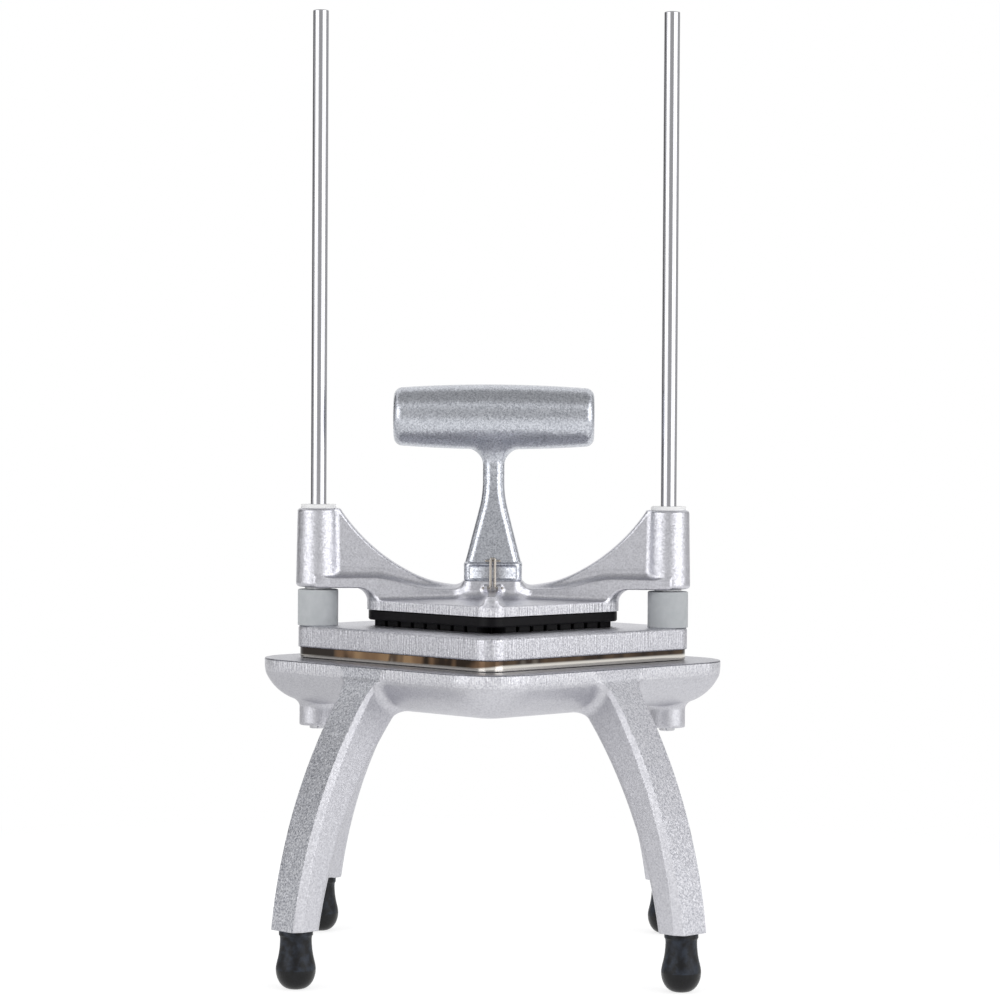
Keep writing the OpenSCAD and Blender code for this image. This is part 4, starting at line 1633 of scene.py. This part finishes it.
    def build(self, dresser: Dresser) -> None:
        """Add the casting, with the plate's sides linished.

        Args:
            dresser: Adds the pieces.
        """
        skin = Moulder(*self.grid, self.cell).skin(self.shape)
        x, y, z = np.abs(skin.points[skin.faces].mean(axis=1)).T
        side = np.abs(self.outline(x, y)[0]) < self.side_near
        side &= z < self.rim_top - self.side_clear
        skin.finish_of = side.astype(int)
        dresser.add(
            "cast_yoke", skin, [Look.CAST, Look.LINISHED_PAINTED_HIGHLIGHT], Body.PUSHER, "cast_aluminium",
            "pusher_casting",
        )


@dataclass
class Bushings:
    """Nylon bushings in the bosses, each with a flange or lip that shows."""

    bore: float = 4.02
    sleeve_h: float = 14.0
    flange_r: float = 8.8
    flange_z: float = 227.7
    flange_edge_r: float = 0.5
    bore_edge_r: float = 0.3
    lip_r: float = 6.7
    lip_z: float = 185.5
    lip_edge_r: float = 0.2

    def build(self, dresser: Dresser) -> None:
        """Add the four bushings.

        Args:
            dresser: Adds the pieces.
        """
        foot, top = BOSS_HIGH_Z - self.sleeve_h, BOSS_LOW_Z + self.sleeve_h
        upper = rounded_outline([
            (self.bore, foot, 0.0), (BUSHING_R, foot, 0.0), (BUSHING_R, BOSS_HIGH_Z, 0.0),
            (self.flange_r, BOSS_HIGH_Z, self.lip_edge_r),
            (self.flange_r, self.flange_z, self.flange_edge_r),
            (self.bore, self.flange_z, self.bore_edge_r),
        ])
        lower = rounded_outline([
            (self.bore, self.lip_z, self.lip_edge_r), (self.lip_r, self.lip_z, self.lip_edge_r),
            (self.lip_r, BOSS_LOW_Z, 0.0), (BUSHING_R, BOSS_LOW_Z, 0.0), (BUSHING_R, top, 0.0),
            (self.bore, top, 0.0),
        ])
        for name, x in SIDES:
            for level, outline in (("upper", upper), ("lower", lower)):
                dresser.add(
                    f"nylon_bushing_{level}_{name}", lathe(outline).moved(x), [Look.BUSHING],
                    Body.PUSHER, "bushing_nylon", f"bushing_{level}_{name}",
                )


@dataclass
class PusherBlock:
    """Black block with square fingers that push food between the blades."""

    pitch: float = 9.525
    gap: float = 1.9
    count: int = 9
    fingers_half: float = 41.8625
    block_half: float = 46.4
    corner_r: float = 8.4
    finger_z: float = 153.0
    block_z: float = 170.2
    finger_sink: float = 0.5
    finger_bevel: float = 0.35
    flange_bevel: float = 0.6
    core_share: float = 0.02

    def reach(self, place: int) -> tuple[float, float]:
        """From where to where a row of fingers runs.

        Args:
            place: Which row, from 0.

        Returns:
            Its two ends.
        """
        middle = (place - (self.count - 1) / 2) * self.pitch
        half = (self.pitch - self.gap) / 2
        return max(middle - half, -self.fingers_half), min(middle + half, self.fingers_half)

    def build(self, dresser: Dresser) -> None:
        """Add the block, whose left and right corners have no finger.

        Args:
            dresser: Adds the pieces.
        """
        plan = square_plan(self.block_half, self.corner_r)
        core = plan * self.core_share
        skin = outline_prism(plan, self.block_z, PLATE_Z, self.flange_bevel, core)
        top = self.block_z + self.finger_sink
        for i, j in itertools.product(range(self.count), repeat=2):
            if i == j and i in (0, self.count - 1):
                continue
            (x0, x1), (y0, y1) = self.reach(i), self.reach(j)
            skin = skin + bevelled_box((x0, y0, self.finger_z), (x1, y1, top), self.finger_bevel)
        dresser.add(
            "nylon_pusher_block", skin.spun(45.0), [Look.BLOCK], Body.PUSHER, "block_nylon",
            "pusher_block",
        )


@dataclass
class Handle:
    """T-handle: a barrel grip on a flared stem, with a recessed foot that the clips hook over."""

    grip_z: float = 271.8
    grip_half: float = 50.0
    grip_r: float = 16.2
    grip_end_r: float = 14.3
    grip_edge_r: float = 4.0
    lip_z: float = 199.2
    stem_foot_half_x: float = 13.9
    stem_foot_half_y: float = 11.6
    neck_half_x: float = 5.35
    neck_half_y: float = 5.75
    neck_curve_r: float = 55.0
    neck_fillet: float = 8.0
    stem_edge_r: float = 1.2
    stem_bevel: float = 2.7
    stem_bevel_r: float = 0.9
    stem_sink: float = 1.0
    foot_edge_r: float = 0.8
    foot_fillet: float = 0.9
    recess_r: float = 27.0
    recess_half_h: float = 3.6
    recess_z: float = 194.6
    recess_depth: float = 3.1
    recess_corner_r: float = 1.2
    recess_edge_r: float = 0.5
    slopes: tuple[float, float] = (0.97, 0.98)
    curve_sink: float = 3.0
    curve_points: int = 60
    grid: tuple[tuple[float, float, float], tuple[float, float, float]] = (
        (-53.0, -18.0, 188.0), (53.0, 18.0, 290.0),
    )
    cell: float = 0.65

    def __post_init__(self) -> None:
        """Work out the stem's half widths by height."""
        self.neck_bottom = self.grip_z - self.grip_r - 2 * self.neck_fillet
        low = self.lip_z - self.curve_sink
        self.heights = np.linspace(low, self.neck_bottom, self.curve_points)
        self.half_x = self.stem_half(self.stem_foot_half_x, self.neck_half_x)
        self.half_y = self.stem_half(self.stem_foot_half_y, self.neck_half_y)

    def stem_half(self, foot: float, neck: float) -> Array:
        """Half width of the stem at each height.

        Args:
            foot: Half width at the lip.
            neck: Half width at the neck.

        Returns:
            Half widths, on a line from the lip that eases into a circle at the neck.
        """
        centre = (neck + self.neck_curve_r, self.neck_bottom)
        step = (centre[0] - foot, centre[1] - self.lip_z)
        rise = math.atan2(step[1], step[0]) + math.asin(self.neck_curve_r / math.hypot(*step))
        line = foot + (self.heights - self.lip_z) / math.tan(rise)
        drop = np.minimum(centre[1] - self.heights, self.neck_curve_r)
        round_part = centre[0] - np.sqrt(self.neck_curve_r**2 - drop**2)
        touch_z = centre[1] + self.neck_curve_r * math.sin(rise + math.pi / 2)
        return np.where(self.heights < touch_z, line, round_part)

    def grip(self, x: Array, y: Array, z: Array) -> Array:
        """Distance to the barrel grip.

        Args:
            x: Distance from the middle, sideways.
            y: Distance from the middle, to the front or rear.
            z: Height.

        Returns:
            Distances, negative inside.
        """
        sag = self.grip_r - self.grip_end_r
        bow = (self.grip_half**2 + sag**2) / (2 * sag)
        radius = np.sqrt(np.maximum(bow**2 - x**2, 1.0)) - bow + self.grip_r
        barrel = np.hypot(y, z - self.grip_z) - radius
        return meet(barrel, x - self.grip_half, self.grip_edge_r)

    def stem(self, x: Array, y: Array, z: Array) -> Array:
        """Distance to the stem, with bevelled edges.

        The slopes' factors keep them from reading farther than they are.

        Args:
            x: Distance from the middle, sideways.
            y: Distance from the middle, to the front or rear.
            z: Height.

        Returns:
            Distances, negative inside.
        """
        wide = self.slopes[0] * (x - np.interp(z, self.heights, self.half_x))
        deep = self.slopes[1] * (y - np.interp(z, self.heights, self.half_y))
        bevel = (wide + deep + self.stem_bevel) / ROOT2
        stem = meet(meet(wide, deep, self.stem_edge_r), bevel, self.stem_bevel_r)
        stem = np.maximum(stem, z - self.grip_z)
        return np.maximum(stem, self.lip_z - self.stem_sink - z)

    def foot(self, x: Array, y: Array, z: Array) -> Array:
        """Distance to the foot, with its curved recess at the front and the rear.

        Args:
            x: Distance from the middle, sideways.
            y: Distance from the middle, to the front or rear.
            z: Height.

        Returns:
            Distances, negative inside.
        """
        foot = rounded_rect(x, y, HUB_HALF_X, HUB_HALF_Y, HUB_R)
        foot = meet(foot, z - self.lip_z, self.foot_edge_r)
        foot = meet(foot, HUB_TOP_Z - z, self.foot_edge_r)
        hollow_y = HUB_HALF_Y - self.recess_depth + self.recess_r
        recess = meet(
            np.abs(z - self.recess_z) - self.recess_half_h,
            np.hypot(x, y - hollow_y) - self.recess_r, self.recess_corner_r,
        )
        return cut(foot, recess, self.recess_edge_r)

    def shape(self, points: Array) -> Array:
        """Distance to the handle.

        Args:
            points: Rows of X, Y and Z.

        Returns:
            Distances, negative inside.
        """
        x, y, z = np.abs(points[:, 0]), np.abs(points[:, 1]), points[:, 2]
        stem = join(self.stem(x, y, z), self.foot(x, y, z), self.foot_fillet)
        return join(stem, self.grip(x, y, z), self.neck_fillet)

    def build(self, dresser: Dresser) -> None:
        """Add the handle."""
        skin = Moulder(*self.grid, self.cell).skin(self.shape)
        dresser.add("cast_handle", skin, [Look.HANDLE], Body.PUSHER, "handle_aluminium", "handle")


@dataclass
class WireClips:
    """Spring-wire clips in front of and behind the handle's foot."""

    r: float = 0.7
    leg_x: float = 1.12
    bend_r: float = 1.25
    foot_x: float = 4.8
    arch_z: float = 200.6
    bar_half: float = 3.3
    bar_y: float = 12.7
    bar_z: float = 200.3
    bar_points: int = 8
    link_points: int = 3
    sides: tuple[tuple[str, Body, float], ...] = (
        ("front", Body.FRONT_CLIP, 0.0), ("rear", Body.REAR_CLIP, 180.0),
    )

    def skin(self) -> Skin:
        """Mesh of the front clip: a loop, the bar across its top, and two links between them.

        Returns:
            The mesh.
        """
        y, top, x = -CLIP_Y, self.arch_z + self.leg_x, self.leg_x
        half = [(self.foot_x, y, CLIP_Z), (x, y, CLIP_Z), (x, y, top)]
        loop = smooth_path(half + [(-x, y, z) for x, y, z in half[::-1]], self.bend_r)
        across = np.linspace(-self.bar_half, self.bar_half, self.bar_points)
        bar = [(x, -self.bar_y, self.bar_z) for x in across]
        made = wire(loop, self.r) + wire(bar, self.r)
        for x in (-self.leg_x, self.leg_x):
            inwards = np.linspace(y, -self.bar_y, self.link_points)
            made = made + wire([(x, at, self.bar_z) for at in inwards], self.r)
        return made

    def build(self, dresser: Dresser) -> None:
        """Add both clips.

        Args:
            dresser: Adds the pieces.
        """
        front = self.skin()
        for name, body, turn in self.sides:
            dresser.add(
                f"spring_clip_{name}", front.spun(turn), [Look.SPRING], body, "clip_wire",
                f"handle_clip_{name}",
            )


def dress_nodes(frame: Mapping[str, object], dresser: Dresser) -> None:
    """Give the CAD nodes that stay in view their materials.

    Args:
        dresser: Adds the pieces.
    """
    looks = {
        "blade_upper": Look.BLADE, "blade_lower": Look.BLADE, "band_screws": Look.SCREW,
        "block_screws": Look.SCREW, "rod_set_screws": Look.SCREW,
    }
    for name, node in frame["nodes"].items():
        for start, look in looks.items():
            if name.startswith(start):
                node.data.materials.clear()
                node.data.materials.append(dresser.materials[look])
                log.info("%s: dressed as %s", name, look.value.name)


# The studio


def seen_rays(tree: bpy.types.NodeTree) -> bpy.types.Node:
    """1 for the camera's own rays and for those that polished metal or glass throws back.

    Args:
        tree: Where the nodes go.

    Returns:
        Node whose first output says so.
    """
    rays = add_node(tree, "ShaderNodeLightPath").outputs
    seen = rays["Is Camera Ray"]
    for other in ("Is Glossy Ray", "Is Transmission Ray"):
        seen = add_node(tree, "ShaderNodeMath", {0: seen, 1: rays[other]}, operation="MAXIMUM")
    return seen


def show_only_reflected(card: bpy.types.Object, level: float) -> None:
    """Give a studio card its grey, and keep it out of the camera's sight.

    Args:
        card: The card.
        level: How bright it is, where white is 1.
    """
    material = bpy.data.materials.new(f"{card.name}_grey")
    tree = cleared(material)
    glow = add_node(tree, "ShaderNodeEmission", {"Color": (level, level, level, 1.0)})
    add_node(tree, "ShaderNodeOutputMaterial", {"Surface": glow})
    card.data.materials.append(material)
    card.visible_camera = False
    card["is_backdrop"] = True


@dataclass(frozen=True)
class Panel:
    """A lamp's face or a card, placed round the object by bearing and height.

    Bearings run from the camera's side of the object to the right, in degrees, and sizes are
    in metres. A level of 1 is white.
    """

    name: str
    bearing: float
    distance: float
    width: float
    low: float
    high: float
    level: float

    def place(self) -> Matrix:
        """Where it stands: its face looks at the object.

        Returns:
            Its place and turn.
        """
        angle = math.radians(self.bearing)
        at = Vector((math.sin(angle), -math.cos(angle), 0.0)) * self.distance
        turn = (-at).to_track_quat("-Z", "Y").to_matrix().to_4x4()
        return Matrix.Translation((at.x, at.y, (self.low + self.high) / 2.0)) @ turn

    def lamp(self) -> None:
        """Add it as a soft lamp whose face is as bright as the level."""
        lamp = bpy.data.lights.new(self.name, "AREA")
        lamp.shape = "RECTANGLE"
        lamp.size, lamp.size_y = self.width, self.high - self.low
        lamp.energy = self.level * math.pi * lamp.size * lamp.size_y
        holder = bpy.data.objects.new(self.name, lamp)
        bpy.context.scene.collection.objects.link(holder)
        holder.matrix_world = self.place()

    def card(self) -> None:
        """Add it as a grey card that shows in polished metal only."""
        half, tall = self.width / 2.0, (self.high - self.low) / 2.0
        card = sheet(self.name, (-half, -tall), (half, tall))
        card.matrix_world = self.place()
        show_only_reflected(card, self.level)


@dataclass(frozen=True)
class LevelCard:
    """A grey card that lies level, in metres, and darkens the metal that faces it."""

    name: str
    low: tuple[float, float]
    high: tuple[float, float]
    z: float
    level: float
    shadow: bool

    def card(self) -> None:
        """Add it."""
        card = sheet(self.name, self.low, self.high, self.z)
        card.visible_shadow = self.shadow
        show_only_reflected(card, self.level)


@dataclass
class Studio:
    """White studio, in metres: floor, soft lamps, cards that metal mirrors, and the camera."""

    camera_at: tuple[float, float, float] = (0.0195, -1.6687, 0.27)
    aim_at: tuple[float, float, float] = (0.00325, 0.0, 0.2303)
    roll: float = 0.36
    lens: float = 120.2
    sensor: float = 36.0
    clip: tuple[float, float] = (0.05, 50.0)
    ambient: float = 0.75
    floor_half: float = 6.0
    floor_glow: float = 0.76
    floor_colour: str = "#B4B4B4"
    floor_light: str = "#DCDCDC"
    fade_from: float = 0.22
    fade_to: float = 0.6
    lamps: tuple[Panel, ...] = (
        Panel("left_softbox", -53.0, 2.2, 1.7, -0.15, 1.75, 1.3),
        Panel("right_softbox", 57.0, 2.0, 1.95, -0.15, 1.85, 1.4),
    )
    cards: tuple[Panel | LevelCard, ...] = (
        LevelCard("ceiling_card", (-1.9, -1.7), (1.9, 0.95), 2.3, 0.42, shadow=True),
        LevelCard("floor_card", (-1.3, -0.4), (-0.12, 0.9), 0.001, 0.8, shadow=False),
        Panel("camera_side_card", 2.0, 2.6, 2.3, -0.3, 2.2, 0.54),
        Panel("left_side_card", -88.0, 2.6, 1.3, -0.3, 1.9, 0.62),
        Panel("rear_left_card", -122.0, 2.6, 1.9, -0.3, 1.9, 0.16),
        Panel("right_side_card", 97.0, 2.6, 1.0, -0.3, 1.9, 0.6),
        Panel("rear_right_card", 130.0, 2.6, 2.0, -0.3, 1.9, 0.5),
    )

    def world(self) -> None:
        """White to the eye and in reflections, softer as a light."""
        world = bpy.data.worlds.new("white_surround")
        bpy.context.scene.world = world
        tree = cleared(world)
        strength = add_node(
            tree, "ShaderNodeMapRange",
            {"Value": seen_rays(tree), "To Min": self.ambient, "To Max": 1.0},
        )
        light = add_node(tree, "ShaderNodeBackground", {"Color": WHITE, "Strength": strength})
        add_node(tree, "ShaderNodeOutputWorld", {"Surface": light})

    def floor(self) -> None:
        """White floor that keeps the object's shadow and fades into the white behind it."""
        half = self.floor_half
        floor = sheet("studio_floor", (-half, -half), (half, half))
        material = bpy.data.materials.new("studio_paper")
        tree = cleared(material)
        paper = add_node(tree, "ShaderNodeBsdfDiffuse", {"Color": linear(self.floor_colour)})
        glow = add_node(
            tree, "ShaderNodeEmission", {"Color": WHITE, "Strength": self.floor_glow}
        )
        near = add_node(tree, "ShaderNodeAddShader", {0: paper, 1: glow})
        white = add_node(tree, "ShaderNodeEmission", {"Color": WHITE})
        place = add_node(tree, "ShaderNodeTexCoord").outputs["Object"]
        away = add_node(tree, "ShaderNodeVectorMath", {0: place}, operation="LENGTH")
        reach = {"From Min": self.fade_from, "From Max": self.fade_to}
        fade = add_node(
            tree, "ShaderNodeMapRange", {"Value": away.outputs["Value"], **reach},
            interpolation_type="SMOOTHSTEP",
        )
        shown = add_node(tree, "ShaderNodeMixShader", {0: fade, 1: near, 2: white})
        matt = add_node(tree, "ShaderNodeBsdfDiffuse", {"Color": linear(self.floor_light)})
        both = add_node(tree, "ShaderNodeMixShader", {0: seen_rays(tree), 1: matt, 2: shown})
        add_node(tree, "ShaderNodeOutputMaterial", {"Surface": both})
        floor.data.materials.append(material)
        floor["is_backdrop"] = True

    def camera(self) -> None:
        """Camera at the photograph's viewpoint."""
        camera = bpy.data.objects.new("camera", bpy.data.cameras.new("camera"))
        bpy.context.scene.collection.objects.link(camera)
        camera.data.lens, camera.data.sensor_width = self.lens, self.sensor
        camera.data.clip_start, camera.data.clip_end = self.clip
        look = Vector(self.aim_at) - Vector(self.camera_at)
        turn = look.to_track_quat("-Z", "Y").to_matrix().to_4x4()
        roll = Matrix.Rotation(math.radians(self.roll), 4, "Z")
        camera.matrix_world = Matrix.Translation(self.camera_at) @ turn @ roll
        bpy.context.scene.camera = camera

    def build(self) -> None:
        """Set up the whole studio."""
        self.world()
        self.floor()
        for lamp in self.lamps:
            lamp.lamp()
        for card in self.cards:
            card.card()
        self.camera()


def write_sizes(cad: tuple[Vector, Vector], visual: tuple[Vector, Vector]) -> None:
    """Round the CAD model's box and the visual model's into plain lists of numbers; nothing is
    written.

    Args:
        cad: Two corners of the CAD model's box.
        visual: Two corners of the visual model's box.
    """
    boxes = {
        name: [[round(value, 6) for value in corner] for corner in box]
        for name, box in (("cad", cad), ("visual", visual))
    }


def main() -> None:
    """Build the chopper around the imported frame."""
    logging.basicConfig(level=logging.INFO, format="%(name)s: %(message)s")
    for item in list(bpy.data.objects):
        bpy.data.objects.remove(item)
    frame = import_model()
    cad_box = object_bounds()
    bpy.context.scene.view_settings.view_transform = "Standard"
    Studio().build()
    dresser = Dresser()
    for assembly in (
        BaseCasting(), RubberFeet(), GuideRods(), BladeFrame(), Bumpers(), PusherCasting(),
        Bushings(), PusherBlock(), Handle(), WireClips(),
    ):
        assembly.build(dresser)
    dress_nodes(frame, dresser)
    write_sizes(cad_box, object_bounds())


if __name__ == "__main__":
    main()
